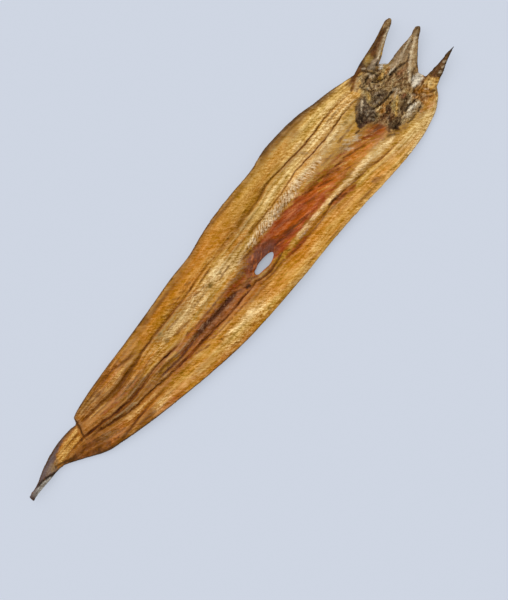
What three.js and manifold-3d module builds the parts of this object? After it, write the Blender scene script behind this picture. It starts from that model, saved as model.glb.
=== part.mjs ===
// A dried eel: slit along the back, opened flat and lying flesh side up, skin side down.
// Millimetres. +X runs from the tail tip to the head, +Y is the eel's left flank, +Z is up.

import * as THREE from 'three';
import { LoftGeometry } from 'three/addons/geometries/LoftGeometry.js';
import { ImprovedNoise } from 'three/addons/math/ImprovedNoise.js';
import { mergeVertices } from 'three/addons/utils/BufferGeometryUtils.js';
import Module from 'manifold-3d';

// Lengthwise lines are [mm from the tail tip, mm from the body's axis] pairs.
const LEFT_EDGE = [
  [0, 5], [4, 6], [16, 7.8], [24, 11], [36, 15], [49, 18], [63, 19.5], [78, 19.2], [86, 19], [88.5, 23.6],
  [91, 24.8], [101, 27.2], [133, 31.2], [180, 34.5], [223, 38.5], [258, 42], [287, 43.2], [307, 47],
  [330, 50.2], [360, 51.7], [388, 52.8], [400, 54.4], [409, 56.2], [430, 56.6], [460, 54.4], [500, 46],
  [529, 38], [545, 33.5], [558, 25], [565, 16], [570, 5], [574, -6], [577, -14],
];
const RIGHT_EDGE = [
  [0, -1.4], [3, 0], [10, 0.6], [25, 0.8], [46, 0], [60, -8], [86, -23.8], [100, -28.2], [140, -37.8],
  [180, -45.2], [220, -51.6], [260, -56], [340, -57], [400, -55.2], [440, -55.4], [490, -57.2],
  [523, -56.4], [544, -53.6], [563, -48.6], [571, -42.5], [577, -34],
];

// Three creases run the whole length, and the rows of facets follow them.
const BACK_CREASE = [
  [0, 4], [40, 12], [80, 14.5], [120, 12], [160, 12], [210, 18], [280, 23], [340, 26], [390, 32],
  [440, 29.5], [500, 31], [540, 24], [560, 12], [570, -6], [577, -20],
];
const RIB_CREASE = [
  [0, 2.8], [40, 8], [80, 4], [110, 0], [130, -6], [160, -6.5], [180, -4.5], [210, -7.5], [270, 2],
  [340, 11], [420, 17.5], [460, 17], [510, 20], [540, 10], [560, 0], [570, -14], [577, -24],
];
const BELLY_CREASE = [
  [0, 1.6], [40, 4], [80, -1], [100, -5], [120, -12], [160, -17.5], [200, -22], [260, -25],
  [340, -26.5], [360, -31], [410, -29.5], [460, -33], [505, -40], [540, -36], [570, -30], [577, -28],
];

// Shorter creases that cross the rows of facets.
const TAIL_FOLD = [[100, -25], [180, -25.5]];
const FLANK_FOLD = [[112, 27], [145, 26.5], [175, 20]];
const KIDNEY_LINE = [[178, -15.5], [225, -16], [245, -14], [292, -17]];

// The belly cavity, scooped out of the flesh between the vent and the throat.
const CAVITY_TOP = [[284, -9], [320, 1], [400, 1], [440, -7], [520, -6]];
const CAVITY_BOTTOM = [[284, -21], [320, -25], [400, -21], [480, -23], [520, -26]];
const CAVITY_RIM = 4.5;
const CAVITY_FADE = 34;
const CAVITY_FLOOR = 2.8;

// Flesh over the split part, and the slimmer tail that was left whole.
const THICKNESS = [
  [0, 2.2], [40, 3.8], [84, 4.6], [120, 5.6], [200, 6.6], [400, 6.8], [500, 6], [550, 5], [577, 4],
];
const TAIL_WHOLE = 82;
const CUT_STEP = 1.4;
const CUT_SLANT = 0.36;

// How the sheet leaves the table: rims curl, the tail lifts and rolls, the head lifts.
const KEEL_SHARE = 0.36;
const RIM_CURL = 0.15;
const RIM_WAVE = 0.4;
const TAIL_LIFT = 9;
const TAIL_LIFT_START = 110;
const TAIL_ROLL = 0.35;
const HEAD_LIFT = 4;
const HEAD_LIFT_START = 515;
const HEAD_FLATTEN = { from: 490, to: 560, share: 0.8 };

// The torn throat between the jaws.
const THROAT = { x: 535, y: -6, reachX: 44, reachY: 36, height: 3, grain: 13 };

const VENT = { x: 330.5, y: -19.2, length: 28.5, width: 9.6 };

// Each jaw is a tapered blade: [x, y, half width, half thickness, height of its middle].
const UPPER_JAW_LEFT = {
  valley: 0.5,
  stations: [
    [514, 30, 3, 1.2, 5], [528, 30.5, 6, 2.6, 5.6], [540, 31.5, 8, 3.4, 6.2], [550, 33, 8.5, 3.4, 6.8],
    [560, 35, 8.4, 3, 7.6], [570, 38.3, 6.6, 2.6, 8.6], [580, 42, 5.3, 2.3, 9.8], [590, 45, 4.4, 2.1, 11],
    [595, 45.9, 3.6, 1.9, 11.6], [597, 46.2, 2, 1.1, 11.8],
  ],
};
const LOWER_JAW = {
  valley: 1.3,
  stations: [
    [530, 4, 8, 1.6, 5], [545, 4, 13, 2.6, 5.6], [562, 4.6, 15, 2.8, 6.4], [575, 4.2, 15.8, 2.7, 7.2],
    [580, 7.2, 13.2, 2.6, 7.6], [590, 11.6, 8.7, 2.4, 8.6], [600, 15.6, 4.6, 2.2, 9.8], [605, 18.2, 4.4, 2.2, 10.4],
    [609, 18.8, 2.9, 1.7, 10.8], [611, 19, 1.2, 0.8, 11],
  ],
};
const UPPER_JAW_RIGHT = {
  valley: 0.6,
  stations: [
    [538, -32, 5, 1.6, 5], [552, -31, 10, 2.8, 5.4], [568, -28.5, 10.4, 2.9, 6.2], [577, -25.6, 8.2, 2.6, 6.8],
    [585, -24, 6, 2.3, 7.6], [592, -23.2, 5, 2, 8.4], [600, -21.7, 3.3, 1.8, 9.2], [610, -20, 2, 1.3, 10.2],
    [618, -19.4, 0.6, 0.4, 10.8],
  ],
};
const JAW_SIDES = 14;
const JAW_STEP = 4;

// Facets: how many between the creases, and how far apart the cross-sections are.
const CREASE_SHOULDER = 2.3;
const RIM_SPREAD = [0, 0.05, 0.16, 0.34, 0.62];
const UNDERSIDE_SPREAD = [0.93, 0.76, 0.56, KEEL_SHARE];
const SECTION_SPANS = [
  { from: 0, to: 8, step: 2 },
  { from: 8, to: 76, step: 5 },
  { from: 76, to: 84, step: 2.7 },
  { from: 84, to: 92, step: 1 },
  { from: 92, to: 96, step: 2 },
  { from: 96, to: 496, step: 5.2 },
  { from: 496, to: 577, step: 4 },
];

const { smoothstep, clamp, lerp } = THREE.MathUtils;
const perlin = new ImprovedNoise();

// A smooth value along the body, through its stations.
function along(stations) {
  const places = stations.map((station) => station[0]);
  const values = stations.map((station) => station[1]);
  const curve = new THREE.CubicInterpolant(places, values, 1);
  return (x) => curve.evaluate(clamp(x, places[0], places.at(-1)))[0];
}

const leftEdge = along(LEFT_EDGE);
const rightEdge = along(RIGHT_EDGE);
const backCrease = along(BACK_CREASE);
const ribCrease = along(RIB_CREASE);
const bellyCrease = along(BELLY_CREASE);
const thickness = along(THICKNESS);
const cavityTop = along(CAVITY_TOP);
const cavityBottom = along(CAVITY_BOTTOM);

const CREASES = [
  { line: backCrease, from: 92, to: 175, depth: 1.6, width: 2.6 },
  { line: backCrease, from: 170, to: 300, depth: 0.6, width: 2.4 },
  { line: backCrease, from: 315, to: 520, depth: 1.3, width: 1.7 },
  { line: ribCrease, from: 80, to: 220, depth: 1.7, width: 1.8 },
  { line: ribCrease, from: 335, to: 520, depth: 1.1, width: 1.6 },
  { line: bellyCrease, from: 80, to: 346, depth: 1.4, width: 1.7 },
  { line: bellyCrease, from: 350, to: 512, depth: 1.4, width: 1.6 },
  { line: along(TAIL_FOLD), from: 100, to: 185, depth: 0.8, width: 2.4 },
  { line: along(FLANK_FOLD), from: 112, to: 178, depth: 0.7, width: 2.4 },
  { line: along(KIDNEY_LINE), from: 176, to: 295, depth: 1.1, width: 2.6 },
];
const CREASE_FADE = 10;

// 1 inside a stretch of the body, easing to 0 at both of its ends.
function stretch(x, from, to, fade) {
  return smoothstep(x, from, from + fade) * (1 - smoothstep(x, to - fade, to));
}

function creaseDepth(x, y) {
  let depth = 0;
  for (const crease of CREASES) {
    const across = (y - crease.line(x)) / crease.width;
    depth += crease.depth * stretch(x, crease.from, crease.to, CREASE_FADE) * Math.exp(-across * across);
  }
  return depth;
}

// Share of the way from solid flesh, 0, to the bare floor of the belly cavity, 1.
function cavityShare(x, y) {
  const belowTop = smoothstep(cavityTop(x) - y, -CAVITY_RIM, CAVITY_RIM);
  const aboveBottom = smoothstep(y - cavityBottom(x), -CAVITY_RIM, CAVITY_RIM);
  const first = CAVITY_TOP[0][0];
  const last = CAVITY_TOP.at(-1)[0];
  return belowTop * aboveBottom * stretch(x, first, last, CAVITY_FADE);
}

// Dried shreds of gill and throat: ridged noise that dies away from the throat's middle.
function throatCrags(x, y) {
  const away = Math.hypot((x - THROAT.x) / THROAT.reachX, (y - THROAT.y) / THROAT.reachY);
  const share = 1 - smoothstep(away, 0.55, 1.05);
  const grain = perlin.noise(x / THROAT.grain, y / (0.7 * THROAT.grain), 3.7);
  return THROAT.height * share * (1 - 2.6 * Math.abs(grain));
}

// Low pleats along the fibres of the dried flesh, and a little unevenness.
function pleats(x, y) {
  return 1.1 * perlin.noise(x / 85, y / 8, 8.2) + 0.5 * perlin.noise(x / 21, y / 11, 1.3);
}

// Thickness of the sheet at a point, with `across` running from -1 at one rim to 1 at the other.
function fleshThickness(x, y, across) {
  const whole = 1 - smoothstep(x, TAIL_WHOLE - 20, TAIL_WHOLE + 20);
  const splitRim = Math.sqrt(1 - Math.abs(across) ** 3.4);
  const wholeRim = Math.sqrt(1 - across * across);
  const rim = lerp(splitRim, wholeRim, whole);
  const cutEdge = TAIL_WHOLE + CUT_SLANT * clamp(y, -10, 20);
  const step = CUT_STEP * smoothstep(x, cutEdge - 1.2, cutEdge + 1.2) * stretch(x, 60, 200, 20);
  let flesh = thickness(x) + step - creaseDepth(x, y) + pleats(x, y) * (1 - whole);
  flesh = lerp(flesh, CAVITY_FLOOR, cavityShare(x, y)) + throatCrags(x, y);
  return Math.max(flesh, 1.2) * rim;
}

// Height of the skin side above the table.
function skinHeight(x, across, halfWidth) {
  const curlShare = Math.max(0, (Math.abs(across) - KEEL_SHARE) / (1 - KEEL_SHARE));
  const wave = 1 + RIM_WAVE * Math.sin(x / 41 + 2.1 * Math.sign(across)) * Math.sin(x / 97 + 0.6);
  const flatten = 1 - HEAD_FLATTEN.share * smoothstep(x, HEAD_FLATTEN.from, HEAD_FLATTEN.to);
  const curl = RIM_CURL * halfWidth * wave * flatten * curlShare ** 1.7;
  const tail = Math.max(0, 1 - x / TAIL_LIFT_START) ** 1.5;
  const head = HEAD_LIFT * smoothstep(x, HEAD_LIFT_START, 600);
  return curl + head + tail * (TAIL_LIFT + TAIL_ROLL * across * halfWidth);
}

// Where the rows of facets cross a section, from the left rim to the right one.
function rowsAcross(x) {
  const left = leftEdge(x);
  const right = rightEdge(x);
  const back = backCrease(x);
  const rib = ribCrease(x);
  const belly = bellyCrease(x);
  const gaps = [left - back, back - rib, rib - belly, belly - right];
  const shoulder = Math.min(CREASE_SHOULDER, 0.24 * Math.min(...gaps));
  const rows = RIM_SPREAD.map((share) => lerp(left, back + shoulder, share));
  rows.push(...creaseRows(back, shoulder), ...rowsBetween(back - shoulder, rib + shoulder, 3));
  rows.push(...creaseRows(rib, shoulder), ...rowsBetween(rib - shoulder, belly + shoulder, 5));
  rows.push(...creaseRows(belly, shoulder));
  rows.push(...RIM_SPREAD.toReversed().map((share) => lerp(right, belly - shoulder, share)));
  return rows;
}

function creaseRows(middle, shoulder) {
  return [middle + shoulder, middle, middle - shoulder];
}

function rowsBetween(from, to, count) {
  return Array.from({ length: count }, (_, index) => lerp(from, to, (index + 1) / (count + 1)));
}

// One closed cross-section: over the flesh from left to right, then back under the skin.
function bodySection(x) {
  const left = leftEdge(x);
  const right = rightEdge(x);
  const middle = (left + right) / 2;
  const halfWidth = (left - right) / 2;
  const underside = [...UNDERSIDE_SPREAD.map((share) => -share), ...UNDERSIDE_SPREAD.toReversed()];
  const over = rowsAcross(x).map((y) => {
    const across = clamp((y - middle) / halfWidth, -1, 1);
    const height = skinHeight(x, across, halfWidth) + fleshThickness(x, y, across);
    return new THREE.Vector3(x, y, height);
  });
  const under = underside.map((across) => {
    const y = middle + across * halfWidth;
    return new THREE.Vector3(x, y, skinHeight(x, across, halfWidth));
  });
  return [...over, ...under];
}

function sectionPlaces() {
  const places = [SECTION_SPANS[0].from];
  for (const span of SECTION_SPANS) {
    const count = Math.round((span.to - span.from) / span.step);
    places.push(...Array.from({ length: count }, (_, i) => lerp(span.from, span.to, (i + 1) / count)));
  }
  return places;
}

function loft(sections) {
  return new LoftGeometry(sections, { capStart: true, capEnd: true });
}

function bodyGeometry() {
  return loft(sectionPlaces().map(bodySection));
}

// A blade of bone and dried skin, flat-oval in section, with a valley along its upper side.
function jawGeometry({ stations, valley }) {
  const lines = [1, 2, 3, 4].map((column) => along(stations.map((row) => [row[0], row[column]])));
  const [middle, halfWidth, halfThickness, height] = lines;
  const first = stations[0][0];
  const last = stations.at(-1)[0];
  const count = Math.round((last - first) / JAW_STEP);
  const sections = Array.from({ length: count + 1 }, (_, index) => {
    const x = lerp(first, last, index / count);
    return Array.from({ length: JAW_SIDES }, (_, side) => {
      const angle = (2 * Math.PI * side) / JAW_SIDES;
      const across = Math.cos(angle);
      const dip = valley * Math.max(0, Math.sin(angle)) * Math.exp(-((across / 0.4) ** 2));
      const z = height(x) + halfThickness(x) * (Math.sin(angle) - 0.5 * dip);
      return new THREE.Vector3(x, middle(x) + halfWidth(x) * across, z);
    });
  });
  return loft(sections);
}

// The vent: a slot with a round tail end and a pointed head end, right through the belly.
// Its two sides are given as shares of its length and width, from the middle of the slot.
const VENT_RIGHT_SIDE = [[-0.5, -0.05], [-0.42, -0.27], [-0.22, -0.44], [0.08, -0.48], [0.36, -0.22], [0.52, 0.13]];
const VENT_LEFT_SIDE = [[0.52, 0.13], [0.36, 0.42], [0, 0.5], [-0.36, 0.44], [-0.47, 0.2], [-0.5, -0.05]];

function ventGeometry() {
  const { x, y, length, width } = VENT;
  const points = [VENT_RIGHT_SIDE, VENT_LEFT_SIDE].flatMap((side) => {
    const corners = side.map(([share, aside]) => new THREE.Vector2(x + share * length, y + aside * width));
    return new THREE.SplineCurve(corners).getPoints(16).slice(0, -1);
  });
  const outline = new THREE.Shape(points);
  const slot = new THREE.ExtrudeGeometry(outline, { depth: 30, bevelEnabled: false });
  slot.translate(0, 0, -10);
  return slot;
}

const wasm = await Module();
wasm.setup();

function toSolid(geometry) {
  const bare = new THREE.BufferGeometry().copy(geometry);
  bare.deleteAttribute('normal');
  bare.deleteAttribute('uv');
  const merged = mergeVertices(bare, 1e-4);
  const mesh = new wasm.Mesh({
    numProp: 3,
    vertProperties: new Float32Array(merged.attributes.position.array),
    triVerts: new Uint32Array(merged.index.array),
  });
  return new wasm.Manifold(mesh);
}

function toGeometry(solid) {
  const { vertProperties, triVerts } = solid.getMesh();
  const geometry = new THREE.BufferGeometry();
  geometry.setAttribute('position', new THREE.BufferAttribute(vertProperties, 3));
  geometry.setIndex(new THREE.BufferAttribute(triVerts, 1));
  return geometry;
}

// Body and jaws grown together, with the vent cut through.
let eelSolid = toSolid(bodyGeometry());
for (const jaw of [UPPER_JAW_LEFT, LOWER_JAW, UPPER_JAW_RIGHT]) {
  eelSolid = eelSolid.add(toSolid(jawGeometry(jaw)));
}
eelSolid = eelSolid.subtract(toSolid(ventGeometry()));

// The origin is the middle of the underside of the part's box.
const eelGeometry = toGeometry(eelSolid);
eelGeometry.computeBoundingBox();
const box = eelGeometry.boundingBox;
eelGeometry.translate(-(box.min.x + box.max.x) / 2, -(box.min.y + box.max.y) / 2, -box.min.z);
eelGeometry.computeVertexNormals();

const driedFlesh = new THREE.MeshStandardMaterial({ color: 0xb98845, roughness: 0.5, metalness: 0 });
const eel = new THREE.Mesh(eelGeometry, driedFlesh);
eel.name = 'eel';

const driedEel = new THREE.Group();
driedEel.add(eel);

export default driedEel;
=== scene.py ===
# %% [markdown]
# # A dried eel, opened flat
#
# The eel was slit along its back, gutted, spread open and dried flesh side up. One sheet of flesh
# runs from the whole, thin tail to the splayed jaws, so it is modelled as one skin of mesh. The
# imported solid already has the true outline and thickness. This script makes the fine surface over it.

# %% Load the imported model
import math

import bpy
import numpy as np
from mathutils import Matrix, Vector, noise


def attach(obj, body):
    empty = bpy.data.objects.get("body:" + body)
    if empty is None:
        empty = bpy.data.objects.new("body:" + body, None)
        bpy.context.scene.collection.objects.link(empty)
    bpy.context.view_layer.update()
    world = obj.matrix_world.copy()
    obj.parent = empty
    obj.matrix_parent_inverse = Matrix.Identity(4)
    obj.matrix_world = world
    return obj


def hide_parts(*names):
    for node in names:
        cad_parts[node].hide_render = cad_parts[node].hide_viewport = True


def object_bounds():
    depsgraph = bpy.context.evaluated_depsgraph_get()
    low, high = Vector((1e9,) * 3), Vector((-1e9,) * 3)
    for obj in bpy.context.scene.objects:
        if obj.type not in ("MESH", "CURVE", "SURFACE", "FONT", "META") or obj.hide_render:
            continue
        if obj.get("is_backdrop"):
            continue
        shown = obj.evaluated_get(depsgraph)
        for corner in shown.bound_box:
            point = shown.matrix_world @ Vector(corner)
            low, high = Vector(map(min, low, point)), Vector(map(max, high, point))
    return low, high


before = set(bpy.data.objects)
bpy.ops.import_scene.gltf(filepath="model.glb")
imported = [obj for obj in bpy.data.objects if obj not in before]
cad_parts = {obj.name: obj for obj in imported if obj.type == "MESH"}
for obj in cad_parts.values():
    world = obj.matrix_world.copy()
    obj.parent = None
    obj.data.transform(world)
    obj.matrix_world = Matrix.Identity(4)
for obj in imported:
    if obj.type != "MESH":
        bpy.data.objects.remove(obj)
cad_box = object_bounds()
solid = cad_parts["eel"]
print("solid:", len(solid.data.polygons), "triangles,", [round(side, 4) for side in cad_box[1] - cad_box[0]])

# %% [markdown]
# ## Measuring along the body
#
# A fishmonger would describe a spot on the eel by how far it is from the tail tip and how far it is
# from the body's axis. All places below are given that way, in millimetres, and one function turns
# them into Blender's metres. That keeps the numbers readable, and the frame stays the solid's own.

# %% Body coordinates
MM = 0.001
LENGTH = (cad_box[1].x - cad_box[0].x) / MM
TAIL_TIP = cad_box[0].x / MM
# The body's axis runs this far to the left of the middle of the solid's box.
AXIS = 0.24


def spot(x, y, z=0.0):
    """A place on the eel: mm from the tail tip, mm left of the axis, mm above the table."""
    return Vector((x + TAIL_TIP, y + AXIS, z)) * MM


print("length from tail to jaw:", round(LENGTH, 1), "mm")

# %% [markdown]
# ## Camera
#
# The eel is seen from straight above, lying slantwise across an upright picture. A long lens from
# high up keeps the outline free of perspective, and the scale is right at the height of the flesh, not
# of the table. Turning the camera, not the eel, gives the slant, because the eel has to stay where the
# solid is.

# %% Camera
BODY_SLANT = math.radians(49)
PICTURE_MIDDLE = (296, -34.9)
PICTURE_HEIGHT = 0.6
CAMERA_HEIGHT = 1.8
FLESH_HEIGHT = 0.006
SENSOR = 36.0

bpy.ops.object.select_all(action="DESELECT")
overhead = spot(*PICTURE_MIDDLE, CAMERA_HEIGHT / MM)
bpy.ops.object.camera_add(location=overhead, rotation=(0, 0, -BODY_SLANT))
camera = bpy.context.object
camera.data.sensor_width = SENSOR
camera.data.lens = SENSOR * (CAMERA_HEIGHT - FLESH_HEIGHT) / PICTURE_HEIGHT
bpy.context.scene.camera = camera
print("lens:", round(camera.data.lens), "mm")

# %% [markdown]
# ## Floor and light
#
# A pale blue-grey sheet fills the picture. The light is a wide, soft sun on the eel's left side with
# an even sky for fill, so pleats and creases get a bright and a dark flank and the shadow stays soft.
# A sun lights the whole sheet alike, which a lamp near by would not. The sheet also shines a little by
# itself, as on a light table, which makes the shadow faint; under the eel's vent it shines less, so that
# the hole looks shaded. The Standard view keeps the browns as they are mixed, without a film look.

# %% Floor
FLOOR_SIZE = 8
FLOOR_DROP = 0.0003
FLOOR_COLOUR = (0.70, 0.745, 0.84)
FLOOR_GLOW = (0.617, 0.665, 0.76)
GLOW_SHARE = 0.7
PAPER_ROUGHNESS = 0.9
PAPER_SHINE = 0.1

bpy.ops.mesh.primitive_plane_add(size=FLOOR_SIZE, location=(0, 0, -FLOOR_DROP))
floor = bpy.context.object
floor.name = "floor"
paper = bpy.data.materials.new("pale_paper")
paper.use_nodes = True
paper_shader = paper.node_tree.nodes["Principled BSDF"]
paper_colour = [part * (1 - GLOW_SHARE) for part in FLOOR_COLOUR]
paper_shader.inputs["Base Color"].default_value = (*paper_colour, 1)
paper_shader.inputs["Emission Color"].default_value = (*FLOOR_GLOW, 1)
paper_shader.inputs["Roughness"].default_value = PAPER_ROUGHNESS
paper_shader.inputs["Specular IOR Level"].default_value = PAPER_SHINE
floor.data.materials.append(paper)
print("floor:", FLOOR_SIZE, "m wide")

# %% Less glow under the vent
VENT_MIDDLE = (330.5, -18.5)
VENT_SHADE_LONG = 26
VENT_SHADE_WIDE = 13
VENT_GLOW = 0.4
SHADE_STARTS = 0.05
SHADE_FULL = 0.35

wires = paper.node_tree
under_vent = wires.nodes.new("ShaderNodeMapping")
under_vent.vector_type = "TEXTURE"
under_vent.inputs["Location"].default_value = spot(*VENT_MIDDLE)
under_vent.inputs["Scale"].default_value = (VENT_SHADE_LONG * MM, VENT_SHADE_WIDE * MM, 1)
shade = wires.nodes.new("ShaderNodeTexGradient")
shade.gradient_type = "SPHERICAL"
dimmed = wires.nodes.new("ShaderNodeMapRange")
dimmed.inputs["From Min"].default_value = SHADE_STARTS
dimmed.inputs["From Max"].default_value = SHADE_FULL
dimmed.inputs["To Min"].default_value = GLOW_SHARE
dimmed.inputs["To Max"].default_value = VENT_GLOW
on_paper = wires.nodes.new("ShaderNodeTexCoord")
wires.links.new(on_paper.outputs["Object"], under_vent.inputs["Vector"])
wires.links.new(under_vent.outputs["Vector"], shade.inputs["Vector"])
wires.links.new(shade.outputs["Fac"], dimmed.inputs["Value"])
wires.links.new(dimmed.outputs["Result"], paper_shader.inputs["Emission Strength"])
floor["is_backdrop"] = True
print("glow of the floor:", GLOW_SHARE, "and under the vent", VENT_GLOW)

# %% Light
SKY_COLOUR = (0.94, 0.97, 1.0)
SKY_STRENGTH = 0.42
KEY_STRENGTH = 1.9
KEY_HEIGHT = math.radians(56)
KEY_WIDTH = math.radians(66)
KEY_LEAN = -0.12

bpy.context.scene.view_settings.view_transform = "Standard"
sky = bpy.data.worlds.new("even_sky")
sky.use_nodes = True
sky.node_tree.nodes["Background"].inputs["Color"].default_value = (*SKY_COLOUR, 1)
sky.node_tree.nodes["Background"].inputs["Strength"].default_value = SKY_STRENGTH
bpy.context.scene.world = sky

key_way = Vector((KEY_LEAN, math.cos(KEY_HEIGHT), math.sin(KEY_HEIGHT)))
key_turn = key_way.to_track_quat("Z", "Y").to_euler()
bpy.ops.object.light_add(type="SUN", location=key_way, rotation=key_turn)
key = bpy.context.object
key.data.energy = KEY_STRENGTH
key.data.angle = KEY_WIDTH
print("sun", round(math.degrees(KEY_HEIGHT)), "degrees up,", round(math.degrees(KEY_WIDTH)), "degrees wide")

# %% [markdown]
# ## A skin of fine mesh
#
# The solid is made of facets up to five millimetres long, too coarse for wrinkles. A voxel remesh
# lays an even skin of small squares over a copy of it, and a few rounds of smoothing melt the facets
# into one another. The side that lies on the table shows less, so its mesh is thinned out again.

# %% Copy and remesh
MERGE_WITHIN = 0.01
VOXEL = 0.9
SMOOTHING = 7


def select_only(piece):
    bpy.ops.object.select_all(action="DESELECT")
    piece.select_set(True)
    bpy.context.view_layer.objects.active = piece


def use_modifier(piece, kind, **settings):
    """Adds a modifier, sets it and applies it."""
    select_only(piece)
    modifier = piece.modifiers.new(kind.lower(), kind)
    for name, value in settings.items():
        setattr(modifier, name, value)
    bpy.ops.object.modifier_apply(modifier=modifier.name)


eel = bpy.data.objects.new("dried_eel", solid.data.copy())
bpy.context.collection.objects.link(eel)
eel.data.materials.clear()
select_only(eel)
bpy.ops.object.mode_set(mode="EDIT")
bpy.ops.mesh.select_all(action="SELECT")
bpy.ops.mesh.remove_doubles(threshold=MERGE_WITHIN * MM)
bpy.ops.object.mode_set(mode="OBJECT")

use_modifier(eel, "REMESH", mode="VOXEL", voxel_size=VOXEL * MM, use_smooth_shade=True)
use_modifier(eel, "SMOOTH", factor=0.5, iterations=SMOOTHING)
print("skin of", len(eel.data.polygons), "faces")

# %% Thin out the underside
UNDERSIDE_SHARE = 0.27
LIES_DOWN = -0.7

facing = np.empty(3 * len(eel.data.polygons))
eel.data.polygons.foreach_get("normal", facing)
faces_down = facing.reshape(-1, 3)[:, 2] < LIES_DOWN

bpy.ops.object.mode_set(mode="EDIT")
bpy.ops.mesh.select_mode(type="FACE")
bpy.ops.mesh.select_all(action="DESELECT")
bpy.ops.object.mode_set(mode="OBJECT")
eel.data.polygons.foreach_set("select", faces_down)
bpy.ops.object.mode_set(mode="EDIT")
bpy.ops.mesh.decimate(ratio=UNDERSIDE_SHARE)
bpy.ops.object.mode_set(mode="OBJECT")
eel.data.calc_loop_triangles()
print("skin of", len(eel.data.loop_triangles), "triangles after thinning the underside")

# %% [markdown]
# ## True rims
#
# The rims are thinner than two squares of the mesh, so the remesh leaves small steps along them and the
# smoothing draws them in. The solid knows the true outline: both are cut at each millimetre along the
# body, and the points near a rim are moved sideways by the difference. In a few places the rim dried in
# a little further than the solid, so it is trimmed there. Two jaws lean a little to the left, and the
# vent is nipped narrower at its tail end.

# %% Where a mesh ends on either side
PLACES = np.arange(8.0, 590.0)


def ease(value, low, high):
    """0 below low, 1 above high, with a smooth step between. Runs backwards if low is above high."""
    share = np.clip((value - low) / (high - low), 0, 1)
    return share * share * (3 - 2 * share)


def corners_of(mesh):
    """The corners of a mesh in body coordinates, in millimetres."""
    corners = np.empty(3 * len(mesh.vertices))
    mesh.vertices.foreach_get("co", corners)
    return corners.reshape(-1, 3) / MM - (TAIL_TIP, AXIS, 0)


def rims_of(mesh):
    """How far a mesh reaches to the left and to the right of the axis, at each of the places."""
    ends = np.empty(2 * len(mesh.edges), dtype=np.int32)
    mesh.edges.foreach_get("vertices", ends)
    start, end = corners_of(mesh)[ends.reshape(-1, 2)].swapaxes(0, 1)
    reach = []
    for place in PLACES:
        cut = (start[:, 0] <= place) != (end[:, 0] <= place)
        share = (place - start[cut, 0]) / (end[cut, 0] - start[cut, 0])
        aside = start[cut, 1] + share * (end[cut, 1] - start[cut, 1])
        reach.append((aside.max(), aside.min()))
    return np.array(reach).T


true_rims = rims_of(solid.data)
print("solid reaches", round(float(true_rims.max()), 1), "mm left of the axis")

# %% Draw the rims out
RIM_REACH = 6.0
STEP_LIMIT = 1.5
# A trim is given by stations: mm along the body, and how far the rim dried in there.
LEFT_TRIM = [(370, 0), (392, 1.0), (404, 1.0), (425, 0.3), (465, 0.3), (482, 1.0), (505, 0),
             (545, 0), (558, 0.8)]
RIGHT_TRIM = [(500, 0), (535, 0.8), (552, 2.0), (566, 3.0), (577, 0.8), (584, 0)]

moved = corners_of(eel.data)
rims = zip((1, -1), true_rims, rims_of(eel.data), (LEFT_TRIM, RIGHT_TRIM))
for side, true_rim, made_rim, trim in rims:
    dried_in = np.interp(PLACES, [place for place, _ in trim], [cut for _, cut in trim])
    step = np.clip(true_rim - made_rim, -STEP_LIMIT, STEP_LIMIT) - side * dried_in
    inwards = side * (np.interp(moved[:, 0], PLACES, made_rim) - moved[:, 1])
    moved[:, 1] += np.interp(moved[:, 0], PLACES, step) * ease(inwards, RIM_REACH, 0)
    print("rim moved by", round(float(np.abs(step).mean()), 2), "mm on average")

# %% Lean two jaws and nip the vent
# A lean: how far a jaw moves, where along the body that starts and ends, its middle and half width.
JAW_LEANS = [(0.5, 558, 580, 8, 18), (0.3, 575, 595, 46, 8)]
JAW_EDGE = 3
# A nip: how far a lip of the vent moves, and the middle, half length and half width of the move.
VENT_NIPS = [(1.3, 326, -24, 8, 4), (-1.3, 320, -14.2, 4.5, 3.2)]


def oval(along, aside, px, py, long, wide, slant=0.0):
    """A soft oval, turned by slant degrees: 1 in its middle, fading to 0 around it."""
    turn = math.radians(slant)
    u = ((along - px) * math.cos(turn) + (aside - py) * math.sin(turn)) / long
    v = ((aside - py) * math.cos(turn) - (along - px) * math.sin(turn)) / wide
    return np.exp(-(u**2) - v**2)


for lean, start, end, middle, reach in JAW_LEANS:
    aside = np.abs(moved[:, 1] - middle)
    moved[:, 1] += lean * ease(moved[:, 0], start, end) * ease(aside, reach + JAW_EDGE, reach)
for nip, *spread in VENT_NIPS:
    moved[:, 1] += nip * oval(moved[:, 0], moved[:, 1], *spread)
eel.data.vertices.foreach_set("co", ((moved + (TAIL_TIP, AXIS, 0)) * MM).ravel())
eel.data.update()
print("jaws lean by up to", max(JAW_LEANS)[0], "mm, vent nipped by", max(VENT_NIPS)[0], "mm")

# %% [markdown]
# ## Tools for shaping
#
# Sculpting by hand means hundreds of strokes. Here a stroke is an array with one number for each
# point of the mesh: how far it is from a crease, or how high it is to be pushed. A few small helpers
# measure distances to lines and outlines and make lumps that are stretched along the fibres.

# %% Points of the mesh
points = np.empty(3 * len(eel.data.vertices))
eel.data.vertices.foreach_get("co", points)
points = points.reshape(-1, 3)
normals = np.empty_like(points)
eel.data.vertex_normals.foreach_get("vector", normals.ravel())

x = points[:, 0] / MM - TAIL_TIP
y = points[:, 1] / MM - AXIS
up = normals[:, 2]
print(len(points), "points")

# %% Helpers for lines along the body
BEYOND = 40.0


def run(stations, softness=12):
    """The value at each point of a line that is given at stations along the body, with soft corners."""
    places = np.arange(-BEYOND, LENGTH + BEYOND)
    values = np.interp(places, [s[0] for s in stations], [s[1] for s in stations])
    window = np.hanning(softness + 2)
    padded = np.pad(values, softness, mode="edge")
    soft = np.convolve(padded, window / window.sum(), mode="same")[softness:-softness]
    return np.interp(x, places, soft)


def beside(stations, softness=12):
    """Signed distance from a lengthwise line, positive to its left."""
    line = run(stations, softness)
    ahead = run([(sx - 1, sy) for sx, sy in stations], softness)
    return (y - line) / np.hypot(1, ahead - line)


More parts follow.
